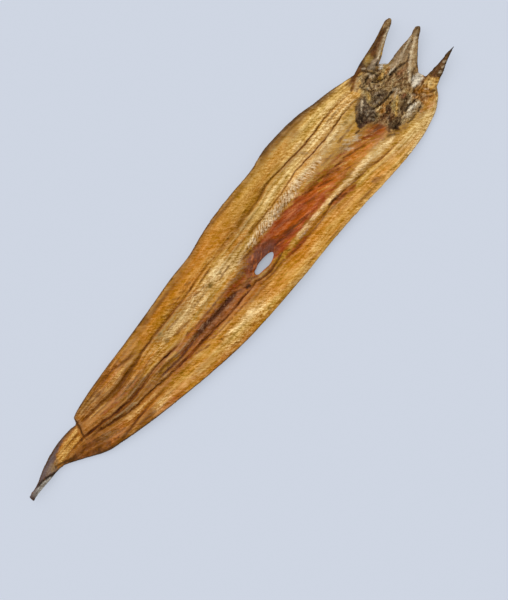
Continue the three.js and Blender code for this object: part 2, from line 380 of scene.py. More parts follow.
print("lines go on for", BEYOND, "mm past both ends")


# %% Helpers for strokes, outlines and lumps
def line_gap(corners):
    """Distance from a line through the corners, and where its nearest place lies on it, 0 to 1."""
    nearest = np.full(len(x), np.inf)
    along = np.zeros(len(x))
    spans = [math.dist(start, end) for start, end in zip(corners, corners[1:])]
    passed = 0.0
    for (ax, ay), (bx, by), span in zip(corners, corners[1:], spans):
        share = np.clip(((x - ax) * (bx - ax) + (y - ay) * (by - ay)) / span**2, 0, 1)
        gap = np.hypot(x - ax - share * (bx - ax), y - ay - share * (by - ay))
        closer = gap < nearest
        nearest[closer] = gap[closer]
        along[closer] = (passed + share[closer] * span) / sum(spans)
        passed += span
    return nearest, along


def outline_gap(corners):
    """Signed distance from a closed outline, negative inside it."""
    closed = corners + corners[:1]
    inside = np.zeros(len(x), dtype=bool)
    for (ax, ay), (bx, by) in zip(closed, closed[1:]):
        if ay != by:
            crosses = (ay > y) != (by > y)
            inside ^= crosses & (x < ax + (y - ay) * (bx - ax) / (by - ay))
    gap, _ = line_gap(closed)
    return np.where(inside, -gap, gap)


def lumps(length, width, slant=0.0, seed=0, octaves=2, over=None):
    """Smooth noise, about -1 to 1, in lumps of that length and width, turned by slant degrees."""
    side = y if over is None else over
    turn = math.radians(slant)
    along = (x * math.cos(turn) + side * math.sin(turn)) / length
    sideways = (side * math.cos(turn) - x * math.sin(turn)) / width
    total = np.zeros(len(x))
    for octave in range(octaves):
        fine = 2**octave
        spots = zip((along * fine).tolist(), (sideways * fine).tolist())
        layer = [noise.noise((u, v, seed + 7.3 * octave)) for u, v in spots]
        total += np.array(layer) / fine
    return 2 * total


trial = lumps(20, 20)
print("lumps go from", round(float(trial.min()), 1), "to", round(float(trial.max()), 1))

# %% Where the rims are
RIM_BIN = 1.0
FAR = 1e3

bins = np.clip((x / RIM_BIN).astype(int), 0, int(LENGTH / RIM_BIN))
left_of = np.full(bins.max() + 1, -FAR)
right_of = np.full(bins.max() + 1, FAR)
np.maximum.at(left_of, bins, y)
np.minimum.at(right_of, bins, y)
bin_places = (np.arange(bins.max() + 1) + 0.5) * RIM_BIN
left_rim = run(list(zip(bin_places, left_of)), softness=4)
right_rim = run(list(zip(bin_places, right_of)), softness=4)
body_width = left_rim - right_rim
across = (2 * y - left_rim - right_rim) / body_width
flesh_side = ease(up, -0.15, 0.25)
print("widest:", round(float(body_width.max()), 1), "mm")

# %% [markdown]
# ## Creases
#
# As the flesh dried, it sank into long creases between the muscle bands. A crease is a narrow valley
# with a slightly swollen lip on either side. Each one is a line along the body with a width and a
# strength that change on the way, as if a modelling tool were drawn along it. That can be read and
# changed station by station, where a sculpted crease would have to be made anew.

# %% Lines of the creases
# Each crease has its line, its half width and how hard it is pressed, by stations along the body.
CREASES = {
    "back": {
        "line": [(92, 15), (110, 13.4), (120, 12.4), (130, 10.7), (140, 10.1), (150, 10.9), (160, 12.4),
                 (170, 12.7), (180, 14.4), (190, 16), (200, 17.1), (220, 17.4), (240, 18.7), (260, 20),
                 (270, 21.6), (290, 23.5), (320, 24.8), (340, 24.9), (350, 26.2), (370, 27), (380, 29.2),
                 (390, 31.4), (400, 31.4), (420, 30.2), (440, 29.1), (460, 29.5), (480, 31.1),
                 (500, 30.3), (512, 28.8)],
        "width": [(92, 1.4), (108, 2.0), (128, 2.3), (156, 2.2), (178, 1.1), (250, 0.9), (300, 1.1),
                  (350, 1.4), (385, 1.2), (396, 0.6), (520, 0.55)],
        "press": [(86, 0), (96, 0.75), (150, 0.62), (185, 0.75), (262, 0.75), (278, 0.2), (312, 0.15),
                  (330, 0.5), (380, 0.5), (392, 0.55), (420, 0.8), (450, 0.8), (470, 0.6), (494, 0.5),
                  (506, 0.25), (516, 0)],
        "depth": 1.0,
    },
    "rib": {
        "line": [(80, 3.4), (90, 1.8), (100, 0), (110, -2.2), (120, -4.2), (130, -6.4), (140, -7.2),
                 (150, -7.2), (160, -6.6), (170, -5.4), (180, -4.5), (190, -5), (200, -6.2), (212, -7.8),
                 (260, 3), (338, 10.4), (350, 12.4), (365, 13.2), (380, 13.6), (393, 14.4), (410, 16.8),
                 (420, 18), (445, 17.3), (468, 16.8), (480, 18.4), (490, 19.6), (515, 20.4)],
        "width": [(80, 1.0), (100, 1.3), (150, 1.2), (214, 1.0), (330, 0.65), (400, 0.6), (520, 0.55)],
        "press": [(70, 0), (80, 0.6), (88, 1.15), (150, 1.15), (200, 1.1), (212, 0.5), (220, 0), (336, 0),
                  (344, 0.6), (405, 0.7), (430, 0.85), (460, 0.9), (484, 0.85), (505, 0.5), (516, 0)],
        "depth": 0.85,
    },
    "belly": {
        "line": [(80, -1), (90, -2.5), (100, -5), (110, -8.3), (120, -11.8), (130, -14.2), (140, -15.6),
                 (160, -17), (170, -18.9), (180, -20.2), (200, -21.7), (212, -23.3), (235, -24),
                 (250, -24.9), (265, -25.5), (300, -25.7), (312, -24.8), (320, -27.4), (332, -28.2),
                 (346, -26.6), (358, -30.4), (380, -31.8), (392, -30.9), (410, -30.8), (420, -29.9),
                 (432, -30.8), (450, -32.8), (472, -34.7), (482, -36.8), (495, -39.1), (515, -40.8)],
        "width": [(82, 0.8), (150, 1.0), (200, 1.1), (300, 1.0), (330, 1.0), (440, 0.65), (515, 0.6)],
        "press": [(76, 0), (95, 0.7), (125, 0.75), (150, 0.8), (200, 1.05), (235, 0.9), (300, 1.0),
                  (318, 0.95), (336, 0.85), (345, 0), (368, 0), (380, 0.35), (400, 0.5), (420, 0.8),
                  (434, 0.8), (440, 0.45), (450, 0.65), (496, 0.65), (512, 0.35), (520, 0)],
        "depth": 0.75,
    },
    "tail_fold": {
        "line": [(102, -27), (112, -26.3), (130, -25.1), (150, -24.6), (185, -25.2)],
        "width": [(102, 1.2), (185, 1.3)],
        "press": [(102, 0), (110, 0.8), (140, 0.8), (165, 0.45), (185, 0)],
        "depth": 0.5,
    },
    "flank_fold": {
        "line": [(88, 22.4), (100, 23.8), (115, 24.2), (130, 25.3), (146, 26.5), (153, 25.4),
                 (160, 23.4), (176, 20.6)],
        "width": [(88, 0.8), (120, 1.0), (150, 1.5), (176, 1.8)],
        "press": [(84, 0), (94, 0.6), (146, 0.75), (160, 0.65), (172, 0.5), (182, 0)],
        "depth": 0.45,
    },
    "kidney": {
        "line": [(176, -15), (190, -16.5), (204, -17.3), (222, -16.4), (235, -15.2), (248, -15.2), (258, -16),
                 (275, -16.3), (292, -16.6)],
        "width": [(176, 1.0), (204, 1.2), (224, 1.2), (232, 2.4), (286, 2.5), (292, 2)],
        "press": [(174, 0), (182, 0.75), (218, 0.7), (226, 0.9), (287, 0.95), (294, 0)],
        "depth": 0.8,
    },
}
print(len(CREASES), "creases")

# %% [markdown]
# ## Lanes of muscle
#
# The fibres follow the body: they draw together towards the tail and spread where it is wide. A lane
# number tells how far a point is from the rims and from the three long creases, as if the body were
# equally wide all along. Anything drawn over the lanes follows the flesh without further care.

# %% Lanes
LANE_OF_RAIL = [-52.0, -25.0, 3.0, 20.0, 42.0]
RAIL_LIMITS = {"belly": (0.12, 0.6), "rib": (0.3, 0.75), "back": (0.5, 0.9)}
NARROWEST_LANE = 0.5

rails = [right_rim]
for name, (low, high) in RAIL_LIMITS.items():
    lowest = right_rim + low * body_width
    highest = right_rim + high * body_width
    rail = np.clip(run(CREASES[name]["line"]), lowest, highest)
    rails.append(np.maximum(rail, rails[-1] + NARROWEST_LANE))
rails.append(np.maximum(left_rim, rails[-1] + NARROWEST_LANE))

lane = np.full(len(x), LANE_OF_RAIL[0])
for low_rail, high_rail, low_lane, high_lane in zip(rails, rails[1:], LANE_OF_RAIL, LANE_OF_RAIL[1:]):
    lane += np.clip((y - low_rail) / (high_rail - low_rail), 0, 1) * (high_lane - low_lane)
print("lanes from", round(float(lane.min())), "to", round(float(lane.max())), "mm")

# %% [markdown]
# ## Pressing the creases
#
# A real crease wavers, deepens and fades on its way. So the distance from its line is shaken by a little
# noise before it becomes a valley with two lips. Cut into the mesh as a sharp edge, it would look like
# a fold in paper.

# %% Press the creases
LIP_HEIGHT = 0.35
LIP_GAP = 2.6

relief = np.zeros(len(x))
crease_gaps = {}
unsteady = 0.4 * lumps(16, 16, seed=1) + 0.25 * lumps(5, 5, seed=2)
for name, crease in CREASES.items():
    gap = (beside(crease["line"], softness=6) + unsteady) / run(crease["width"])
    hand = np.clip(1 + 0.3 * lumps(16, 16, seed=len(name)), 0.5, 1.2)
    press = run(crease["press"], softness=6) * hand
    valley = np.exp(-(gap**2))
    lips = np.exp(-((np.abs(gap) - LIP_GAP) ** 2))
    relief += crease["depth"] * press * (LIP_HEIGHT * lips - valley)
    crease_gaps[name] = gap, press
print("deepest crease", round(float(-relief.min()), 2), "mm")

# %% [markdown]
# ## Pleats and fibres
#
# Between the creases the flesh lies in low lengthwise pleats, and short slanted ridges show the
# blocks of muscle. There are too many to draw one by one, and no two are alike, so both are noise that
# is stretched far along one direction. They fade out over the bare belly cavity, whose lining has
# shrunk into flatter wrinkles of its own.

# %% Pleats and fibres
CAVITY = [
    (310, -15), (314, -9.5), (322, -5), (332, -1.6), (345, 0.4), (362, 0.8), (385, 1.6), (403, 1.4),
    (414, -1.2), (424, -2.4), (440, -2.4), (460, -1.6), (474, -2.4), (484, -8), (500, -8), (512, -13),
    (515, -22), (500, -25.5), (480, -23.5), (440, -23.5), (400, -23), (360, -23.5), (345, -25.5),
    (330, -26), (316, -22.5),
]
cavity_gap = outline_gap(CAVITY)
outside_cavity = ease(cavity_gap, -4, 3)
split_body = ease(x, 78, 100) * ease(x, 540, 500)

pleats = 0.5 * lumps(80, 4.6, seed=11, over=lane) + 0.22 * lumps(30, 2.2, seed=12, over=lane)
blocks = 0.2 * lumps(7, 1.9, slant=-46, seed=13) + 0.06 * lumps(1.9, 1.9, seed=14, octaves=1)
wrinkles = 0.26 * lumps(34, 3.4, slant=-9, seed=24) + 0.16 * lumps(10, 1.8, slant=-36, seed=25)
smooth_flank = ease(lane, 19, 25) * ease(x, 450, 400) * ease(x, 150, 200)
pleats *= 1 - 0.55 * smooth_flank
relief += split_body * (outside_cavity * (pleats + blocks) + (1 - outside_cavity) * wrinkles)
print("pleats up to", round(float(pleats.max()), 2), "mm high")

# %% [markdown]
# ## Rib marks
#
# Along the upper edge of the belly cavity the rib ends stand out as a row of slanted ridges, and along
# the lower edge the cut muscle looks like a twisted cord. Both repeat at an even pitch, which noise
# would not, so they are waves that lean over. Noise lets them wander a little and decides how strong
# each ridge is, and so the rows end in a ragged way.

# %% Rib marks
RIB_ROW = [
    (308, 0), (322, 3), (334, 8), (345, 10.6), (375, 12), (400, 13), (420, 14), (448, 9), (446, 4.4),
    (428, 3.6), (405, 2.4), (380, 1.5), (350, 1), (325, 2),
]
CORD_ROW = [
    (362, -26), (374, -25), (400, -24.6), (430, -25), (484, -25.4), (482, -32), (450, -31.4), (430, -29.4),
    (415, -28), (380, -29), (366, -29),
]
RIB_SLANT = 47
COMB_SLANT = -66
RIB_PITCH = 2.9
RIB_HEIGHT = 0.18
CORD_SLANT = -40
CORD_PITCH = 4.6
CORD_HEIGHT = 0.13


def ridges(slant, pitch, wander, seed):
    """Ridges about a pitch apart that lean over by slant degrees, -1 to 1."""
    turn = math.radians(slant)
    sideways = y * math.cos(turn) - x * math.sin(turn)
    return np.sin(2 * math.pi * (sideways + 0.5 * wander * lumps(10, 10, seed=seed)) / pitch)


def uneven(seed):
    """How strong the ridges are from place to place, so that a row of them ends in a ragged way."""
    return np.clip(0.7 + 0.6 * lumps(9, 9, seed=seed), 0.1, 1.3)


rib_row = ease(outline_gap(RIB_ROW) + 1.2 * lumps(8, 8, seed=20), 1.5, -2.5)
cord_row = ease(outline_gap(CORD_ROW) + 1.0 * lumps(8, 8, seed=21), 1.2, -1.8)
head_ribs = ease(x, 400, 414)
leaning_ribs = ridges(RIB_SLANT, RIB_PITCH, 2.2, 22)
combed_ribs = ridges(COMB_SLANT, RIB_PITCH, 2.6, 28)
rib_ridges = (1 - head_ribs) * leaning_ribs + head_ribs * combed_ribs
cord_ridges = ridges(CORD_SLANT, CORD_PITCH, 2.4, 23)
relief += RIB_HEIGHT * rib_row * uneven(26) * rib_ridges
relief += CORD_HEIGHT * cord_row * uneven(27) * cord_ridges
print("rib marks every", RIB_PITCH, "mm")

# %% [markdown]
# ## A brush
#
# What gives this eel its looks are hundreds of small marks: stains, dark seams, cream ridges that are
# painted highlights, shreds of the throat and a few painted shadows. They are set one by one with a
# brush that does two things at once, as thick paint would: it stains the points under it, and it lifts
# or presses them. Each mark is named by its paint.
# The edge of a mark wobbles, and it fades over a short way, so no mark looks cut out.

# %% Paints
def srgb(red, green, blue):
    """A colour as a paint chart gives it, 0 to 255, in the linear light that the shaders use."""
    parts = [part / 255 for part in (red, green, blue)]
    linear = [p / 12.92 if p <= 0.04045 else ((p + 0.055) / 1.055) ** 2.4 for p in parts]
    return (*linear, 1.0)


PAINTS = {
    "soot": srgb(36, 20, 8),
    "umber": srgb(68, 42, 19),
    "chestnut": srgb(112, 65, 27),
    "rust": srgb(150, 57, 10),
    "ember": srgb(190, 95, 26),
    "plum": srgb(86, 48, 33),
    "amber": srgb(198, 124, 32),
    "honey": srgb(210, 158, 74),
    "straw": srgb(222, 182, 102),
    "sand": srgb(206, 166, 106),
    "cream": srgb(229, 191, 130),
    "white": srgb(234, 220, 196),
    "bone": srgb(200, 176, 142),
    "tan": srgb(158, 124, 82),
    "olive": srgb(150, 118, 60),
    "ash": srgb(144, 123, 98),
    "slate": srgb(82, 60, 40),
    "mauve": srgb(98, 82, 80),
    "lilac": srgb(178, 148, 118),
    "pewter": srgb(198, 193, 180),
}
print(len(PAINTS), "paints")

# %% A brush
FAINTEST = 1e-4
STAINED = 0.3

stain = np.tile(PAINTS["amber"][:3], (len(x), 1))
cover = np.zeros(len(x))
wobble = 0.7 * lumps(7, 7, seed=61) + 0.7 * lumps(2.4, 2.4, seed=62)


def lay(paint, share, strength, lift):
    """Stains the points as far as share and strength say, over what is there, and lifts them."""
    laid = share * strength
    total = laid + cover * (1 - laid)
    touched = total > FAINTEST
    kept = (cover * (1 - laid))[touched, None]
    fresh = laid[touched, None] * np.array(PAINTS[paint][:3])
    stain[touched] = (stain[touched] * kept + fresh) / total[touched, None]
    cover[:] = total
    relief[:] += lift * share


def stroke(paint, corners, width, strength=0.85, lift=0.0):
    """A brush stroke through the corners. It is thickest in the middle and tapers to its ends."""
    gap, along = line_gap(corners)
    thick = width * (0.45 + 0.55 * np.sqrt(np.sin(math.pi * along)))
    lay(paint, ease(gap + 0.6 * wobble, 1.7 * thick + 0.4, 0.2 * thick), strength, lift)


def patch(paint, corners, strength=0.9, lift=0.0, soft=1.4):
    """A filled outline whose edge fades over twice soft."""
    lay(paint, ease(outline_gap(corners) + wobble, soft, -soft), strength, lift)


def dab(paint, px, py, long, wide, strength=0.5, slant=0.0):
    """A soft oval that lifts nothing."""
    lay(paint, oval(x, y, px, py, long, wide, slant), strength, 0.0)


def tell(step):
    """Prints how much of the mesh is stained by now."""
    print(step + ":", round(100 * float((cover > STAINED).mean())), "per cent of the points stained")


tell("clean brush")

# %% [markdown]
# ## Broad colours of the flesh
#
# The flesh dried to gold. Where it is thickest it stayed amber, where fat and connective tissue lie
# on top it turned cream, and along the middle of the tail it is brown. None of these zones has an
# edge, so soft ovals that overlap give them. Filled outlines would show where they end.

# %% Broad colours
# Each zone: its middle along the body and beside the axis, half length, half width, strength if not 0.5.
BROAD_ZONES = {
    "amber": [(240, 30, 70, 7), (330, 40, 45, 8), (330, -41, 60, 6), (250, -34, 40, 5), (380, -40, 50, 6),
              (62, 10, 20, 5), (470, -48, 40, 5), (208, 23, 24, 3), (186, -29.5, 22, 2.4),
              (150, -36.5, 7, 2.4), (284, -40.4, 4, 3)],
    "honey": [(440, 42, 45, 6), (365, 40, 35, 7), (500, 38, 28, 5), (370, 19, 28, 4), (410, -47, 40, 4),
              (293, 25, 16, 3), (110, 23, 16, 3.4), (190, -29.5, 16, 2), (365, 32.5, 22, 2),
              (225, 21.6, 9, 2.6), (190, 2, 6, 2.4)],
    "sand": [(228, 6, 34, 5, 0.7), (282, 8, 45, 6.4, 0.75)],
    "cream": [(228, 6, 26, 3.4, 0.25), (282, 8, 40, 4.4, 0.3), (298, 14, 16, 4, 0.35), (380, 20, 24, 4),
              (425, 11, 20, 4), (468, 12, 26, 3.5), (500, 25, 22, 5), (286, -43, 20, 5),
              (286, -43, 13, 3.4), (470, -28, 20, 2.5), (500, -32, 14, 3), (530, -46, 28, 5),
              (482, 37, 36, 5), (455, 24, 35, 3.5), (415, 23, 18, 3.6), (158, -34, 12, 3.5),
              (560, -42, 20, 4), (367, 11.5, 9, 3.4), (310, 2, 18, 4), (262, -42, 18, 6), (369, 8, 8, 6),
              (300, 9, 16, 5, 0.3)],
    "straw": [(475, 38, 40, 5), (360, 20, 30, 3), (530, -44, 20, 4), (262, -44, 18, 6), (302, -51, 24, 3.4),
              (472, 38, 34, 4), (420, 23, 14, 3), (392, 20.4, 20, 1.6), (447, 34.5, 5, 2)],
    "olive": [(208, 13, 12, 3), (241, 12, 12, 2.5), (320, -24, 14, 2.5), (278, 7, 4, 3), (320, 12, 20, 3),
              (496, 9, 12, 4.5), (440, 50, 36, 3.4), (262, -1, 26, 3.4), (210, 9, 5, 4.4), (236, 9, 4, 4.4),
              (291, 15.4, 5, 2.4), (470, 15.5, 9, 2)],
    "ember": [(152, 22.5, 28, 4.6, 0.35), (166, -39, 22, 4.5), (104, -20, 18, 5, 0.4)],
    "rust": [(246, -24.5, 56, 3.8, 0.62), (206, -23, 24, 3.4), (74, -8, 18, 6), (286, -20.4, 20, 1.8),
             (292, -27, 22, 2.6), (192, -6, 26, 2.4), (366, -33.4, 20, 2.6), (432, -33, 14, 4),
             (130, 5, 14, 3), (510, -20, 7, 9)],
    "chestnut": [(138, -32, 12, 3.4), (76, -10, 20, 7), (160, -12, 22, 3.6), (346, 22, 18, 4.5),
                 (296, -33, 16, 2.6), (425, 28.4, 20, 1.6), (463, 47.6, 8, 2.4), (206, 16, 44, 1.8),
                 (447, 44, 8, 4), (453, -25, 6, 2), (215, -15, 40, 4), (128, -9, 28, 3.6),
                 (152, -5, 22, 2.6), (136, 11, 34, 2.4), (98, -25, 16, 3.4), (250, -25, 56, 4, 0.35),
                 (185, -6, 26, 2.6), (172, 22, 12, 3.4), (230, 34.5, 50, 2), (340, 47.4, 44, 2),
                 (440, 50.6, 34, 2.2), (508, -13, 8, 9), (400, -33.6, 60, 1.8), (450, -25, 18, 2.2),
                 (492, -25, 8, 3), (547, -40, 10, 3), (165, -40, 16, 3.4, 0.3), (214, -38, 14, 3, 0.2)],
    "tan": [(455, 10, 36, 5), (478, -30, 30, 4), (110, 23, 18, 3.6), (284, -40.4, 5, 3, 0.4),
            (450, 17, 26, 1.6, 0.4), (434, 27.5, 8, 2.4, 0.4), (482, -3, 20, 2, 0.4),
            (515, -44, 22, 4, 0.25), (150, 1, 12, 5, 0.35), (172, -17, 9, 4, 0.4), (121, 20, 4, 3.4, 0.4)],
    "lilac": [(305, -8, 14, 4, 0.2)],
    "mauve": [(255, -8, 40, 3, 0.2)],
}
for paint, zones in BROAD_ZONES.items():
    for zone in zones:
        dab(paint, *zone)
print(sum(len(zones) for zones in BROAD_ZONES.values()), "broad zones")
tell("broad colours")

# %% [markdown]
# ## Tail
#
# The knife stopped short of the tail, so it is whole: a thin fin, purple-grey skin along its back, and
# a golden wedge of flesh that starts as a point and widens to where the split begins. There the flesh
# ends in a short, torn cross cut with a raised lip behind it. Patches lay down skin, fin and flesh, and
# strokes draw the seams. The cut is pressed in as well, because paint alone would not catch the light.

# %% Fin and skin of the tail
patch("chestnut", [(44, 3), (53, 0), (64, -1), (76, -2), (86, -6), (96, -20), (88, -24), (76, -17),
                   (64, -10), (54, -4)], 0.6, soft=2.4)
patch("mauve", [(14, 6), (20, 9.5), (32, 14.5), (45, 17), (58, 18.6), (70, 19.4), (60, 16), (50, 12.4),
                (44, 9.4), (39, 6.4), (40, 3), (34, 2.4), (28, 4.4), (20, 6)])
stroke("mauve", [(20, 8), (32, 12), (44, 15.4), (58, 17.8), (68, 18.6)], 2.0)
stroke("lilac", [(28, 6.4), (40, 9.4)], 1.8, 0.35)
stroke("tan", [(34, 4.6), (41, 6.8), (46, 8.4)], 2.0, 0.8)
patch("pewter", [(2, 6), (14, 6.2), (22, 5.2), (28, 3.6), (34, 1.6), (44, 0.6), (34, -2), (2, -3)])
stroke("slate", [(6, 2.4), (14, 3), (22, 2.6)], 0.8, 0.5, -0.2)
stroke("slate", [(44, 0.5), (52, -4), (60, -8.4)], 1.6, 0.8)
stroke("umber", [(-1, 5.6), (14, 6.8), (20, 9.2), (30, 13.2), (40, 15.8), (50, 17.8), (60, 19),
                 (74, 19.2), (90, 18.6)], 1.1)
stroke("soot", [(12, 6.2), (22, 5.3), (28, 3.9), (33, 2.1), (39, 0.9)], 0.9, 0.95, -0.6)
stroke("slate", [(1.6, 7), (2.6, 3), (2.2, -3)], 2.4, 0.85)
stroke("soot", [(1, 7), (1.2, 2), (1.4, -3)], 1.2, 0.8)
stroke("mauve", [(1, 5), (7, 5.4), (14, 5.8)], 2.0, 0.7)
dab("mauve", 4, 2, 6, 5, 0.45)
tell("fin")

# %% Flesh wedge of the tail
stroke("umber", [(40, 5), (46, 3.2), (52, 0.6), (60, -3.4), (68, -6)], 1.1, 0.7, -0.4)
stroke("umber", [(47, -0.6), (60, -9), (70, -14.4), (80, -20), (90, -24.4), (100, -28), (112, -31)], 1.3, 0.8)
stroke("honey", [(48, 9), (60, 11.6), (72, 13), (82, 13.6)], 2.0, 0.5, 0.3)
stroke("chestnut", [(58, 16.2), (70, 17.2), (86, 18.6)], 1.4, 0.6)
stroke("honey", [(47, 5), (62, 6.8), (78, 7.4)], 1.8, 0.6, 0.2)
stroke("chestnut", [(60, 10), (70, 10.6), (81, 10.4)], 0.6, 0.5, -0.25)
for seam in ([(56, 3.4), (66, 3.8), (76, 3.4)], [(60, -2), (70, -5), (80, -8)],
             [(66, -8.6), (76, -12), (88, -16)]):
    stroke("chestnut", seam, 0.8, 0.6, -0.3)
stroke("amber", [(62, -5), (74, -9), (84, -12)], 0.9, 0.25, 0.2)
for seam in ([(72, -2), (84, -6), (96, -10)], [(78, -14), (90, -19), (104, -23)],
             [(70, -11), (82, -17), (92, -21.6)], [(86, -9), (98, -15), (110, -18.6)],
             [(90, -13), (104, -19), (116, -22)]):
    stroke("umber", seam, 0.55, 0.5, -0.25)
dab("tan", 101, -13.6, 10, 3, 0.5, -26)
tell("flesh wedge")

# %% Cross cut
stroke("chestnut", [(89.4, 22), (87, 14), (84.6, 8), (82, 0)], 2.6, 0.55, 0.5)
stroke("umber", [(88.2, 21), (86, 14.4), (83.8, 9)], 1.1, 0.85, -1.0)
stroke("umber", [(83.4, 9.5), (81.4, 4), (80.4, -1.4)], 0.8, 0.85, -0.7)
for nick in ([(75.6, 4.6), (78.8, 2.4)], [(78.4, 4.8), (76.8, 2.2)]):
    stroke("umber", nick, 0.6, 0.8, -0.4)
print("lowest place of the cross cut:", round(float(relief[(x > 72) & (x < 92)].min()), 1), "mm")

# %% [markdown]
# ## Marks along the flesh
#
# Along the middle run a dark kidney, thin seams between the muscle bands and stripes of sinew. The rest
# is the flesh's own wear, red-brown spots and marks at the rims, and cream ridges that are painted
# highlights.
# Noise would scatter them evenly, but each has its own place on this fish, so they are set one by one.

# %% Seams and stripes towards the tail
stroke("umber", [(98, -4.5), (104, -6.5), (112, -8.8), (120, -10.4), (130, -11.6),
                 (138, -12)], 0.8, 0.85, -0.4)
stroke("soot", [(84, 3), (92, 1.6), (104, -1), (116, -3.6), (128, -6.2)], 0.7, 0.7, -0.2)
stroke("umber", [(90, 0), (100, -2.6), (112, -5.4), (124, -8), (136, -9.6)], 0.6, 0.7, -0.3)
stroke("chestnut", [(104, -2.6), (116, -5.4), (128, -8.8), (142, -9.8)], 0.6, 0.65, -0.25)
stroke("tan", [(116, -7.4), (128, -10.2), (142, -12.6)], 0.8, 0.55, 0.25)
stroke("tan", [(120, -11.8), (134, -13.2), (148, -13.8)], 0.8, 0.45, 0.25)
stroke("plum", [(140, -3.4), (152, -2.6), (166, -2.8)], 0.6, 0.65, -0.2)
stroke("plum", [(144, -5.2), (156, -4.4), (170, -3.4)], 0.5, 0.6, -0.2)
stroke("tan", [(142, -4.3), (154, -3.5), (168, -3.1)], 0.6, 0.45, 0.2)
stroke("chestnut", [(104, 9.6), (122, 7.8), (146, 7.4), (166, 8.8)], 0.8, 0.55, -0.3)
stroke("chestnut", [(108, 5.6), (124, 3), (144, 2.2), (168, 3.4), (186, 5)], 0.8, 0.5, -0.3)
stroke("rust", [(112, 3.8), (134, 0.4), (160, 0.2)], 1.0, 0.45)
stroke("honey", [(100, 12), (118, 10.6), (140, 9.6)], 0.9, 0.5, 0.3)
stroke("honey", [(130, 18.4), (146, 18.6), (160, 18.4)], 1.4, 0.35, 0.3)
stroke("chestnut", [(96, 20), (112, 20.6), (128, 20.8)], 0.8, 0.6, -0.3)
stroke("plum", [(174, -12.2), (184, -12.6), (196, -13.6)], 0.7, 0.45, -0.3)
stroke("chestnut", [(170, -9.4), (185, -10.5), (196, -11.2), (206, -13)], 0.7, 0.65, -0.3)
stroke("umber", [(106, -26.6), (120, -25.9), (134, -24.9)], 1.3, 0.55, -0.2)
stroke("chestnut", [(128, -30), (138, -32), (148, -33)], 1.8, 0.5, -0.2)
stroke("honey", [(118, -19), (140, -20.6), (164, -22.4)], 1.4, 0.25, 0.3)
stroke("honey", [(150, -31), (164, -34)], 1.6, 0.4, 0.2)
stroke("chestnut", [(92, 25), (112, 27.4), (136, 29), (150, 29.6)], 1.0, 0.25)
tell("seams and stripes")

# %% Kidney and the trail behind the vent
patch("rust", [(206, -9.6), (225, -7.4), (245, -8.6), (270, -9), (288, -9), (304, -9), (312, -12),
               (306, -22), (290, -24), (250, -23), (222, -21.6), (206, -19)], 0.45, soft=2.5)
patch("chestnut", [(250, -8), (270, -7), (288, -6), (304, -2.6), (318, 0.6), (334, 2), (330, -3), (316, -8),
                   (302, -12), (282, -12), (262, -11)], 0.42, soft=3)
patch("plum", [(292, -15), (300, -11), (310, -8), (318, -6), (316, -12), (308, -19),
               (300, -21)], 0.4, soft=2.5)
stroke("chestnut", [(225, -6.6), (242, -8.6), (262, -8.6), (286, -7)], 1.0, 0.6, -0.2)
stroke("tan", [(200, -12.8), (216, -13), (230, -13.4)], 1.2, 0.5)
stroke("plum", [(180, -15.6), (192, -16.8), (206, -17.6), (224, -16.6)], 1.3, 0.85)
patch("plum", [(226, -15), (231, -12.4), (245, -11.4), (252, -13.6), (262, -12.2), (272, -13.6), (284, -12.8),
               (290, -14.4), (296, -18.6), (280, -19), (262, -18.2), (240, -18.2), (230, -17.6)], 0.95)
stroke("soot", [(229, -15.4), (240, -16.6), (254, -16.8), (270, -17), (288, -17)], 1.4, 0.8, -0.3)
stroke("soot", [(256, -14), (268, -14.8), (282, -14.4)], 0.8, 0.6, -0.2)
stroke("olive", [(226, -15), (235, -14)], 1.3, 0.5)
stroke("lilac", [(237, -12.6), (247, -13.2)], 0.6, 0.75, 0.3)
stroke("lilac", [(239, -14.6), (249, -15)], 0.5, 0.6, 0.3)
stroke("tan", [(263, -13.2), (269, -13.8)], 0.6, 0.5, 0.2)
stroke("plum", [(222, -18.6), (240, -19), (262, -19.2), (284, -19.8)], 1.2, 0.6)
stroke("rust", [(280, -10.6), (297, -12.4), (314, -14)], 2.8, 0.5)
stroke("soot", [(300, -21), (305, -22.8)], 1.3, 0.9, -0.5)
stroke("chestnut", [(288, -12), (298, -15), (308, -19)], 1.2, 0.6, -0.3)
stroke("chestnut", [(284, -19.6), (296, -20), (308, -17)], 1.1, 0.5, 0.2)
stroke("chestnut", [(218, -26), (225, -29), (233, -30.8)], 0.8, 0.65, -0.3)
stroke("chestnut", [(240, -29.4), (268, -30.6), (302, -31)], 0.7, 0.6, -0.3)
stroke("chestnut", [(228, -21.6), (252, -22), (284, -22.4)], 0.7, 0.6, -0.2)
tell("kidney")

# %% Ridges, spots and rim marks of the middle
# The cream ridges are painted highlights, and they are lifted a little.
for ridge in ([(206, 7.6), (226, 8.2), (250, 8.4)], [(214, 4.4), (240, 4.6)],
              [(272, 14), (290, 15), (310, 15.8)], [(282, 10.6), (300, 11.4)], [(256, 3), (272, 2.6)],
              [(266, -40), (283, -43.6), (300, -47)], [(274, -38), (290, -41)],
              [(250, -36), (262, -39), (274, -43)]):
    stroke("cream", ridge, 1.3, 0.5, 0.3)
for seam in ([(214, 1.6), (232, 0.4), (246, 0.6)], [(258, 13), (276, 11)], [(274, 17), (292, 19.2)],
             [(216, 10.4), (232, 10.6)], [(250, 6), (268, 6.4)], [(290, 5), (306, 6.4)]):
    stroke("chestnut", seam, 0.6, 0.55, -0.25)
for strike in ([(229, 25), (236, 21)], [(236, 25.6), (243, 21.4)], [(243, 26.4), (250, 22.4)],
               [(252, 26), (258, 23)], [(222, 23.4), (228, 20.2)], [(262, 27), (268, 24.4)]):
    stroke("chestnut", strike, 0.8, 0.5, -0.2)
for px, py, size in ((208, 14, 1.6), (208, 4, 1.9), (278, 7, 1.4), (295, 8.5, 1.2),
                     (327, 47, 1.5), (300, -52, 1.4)):
    stroke("umber", [(px - size, py + 0.4), (px + size, py - 0.4)], size, 0.45, -0.2)
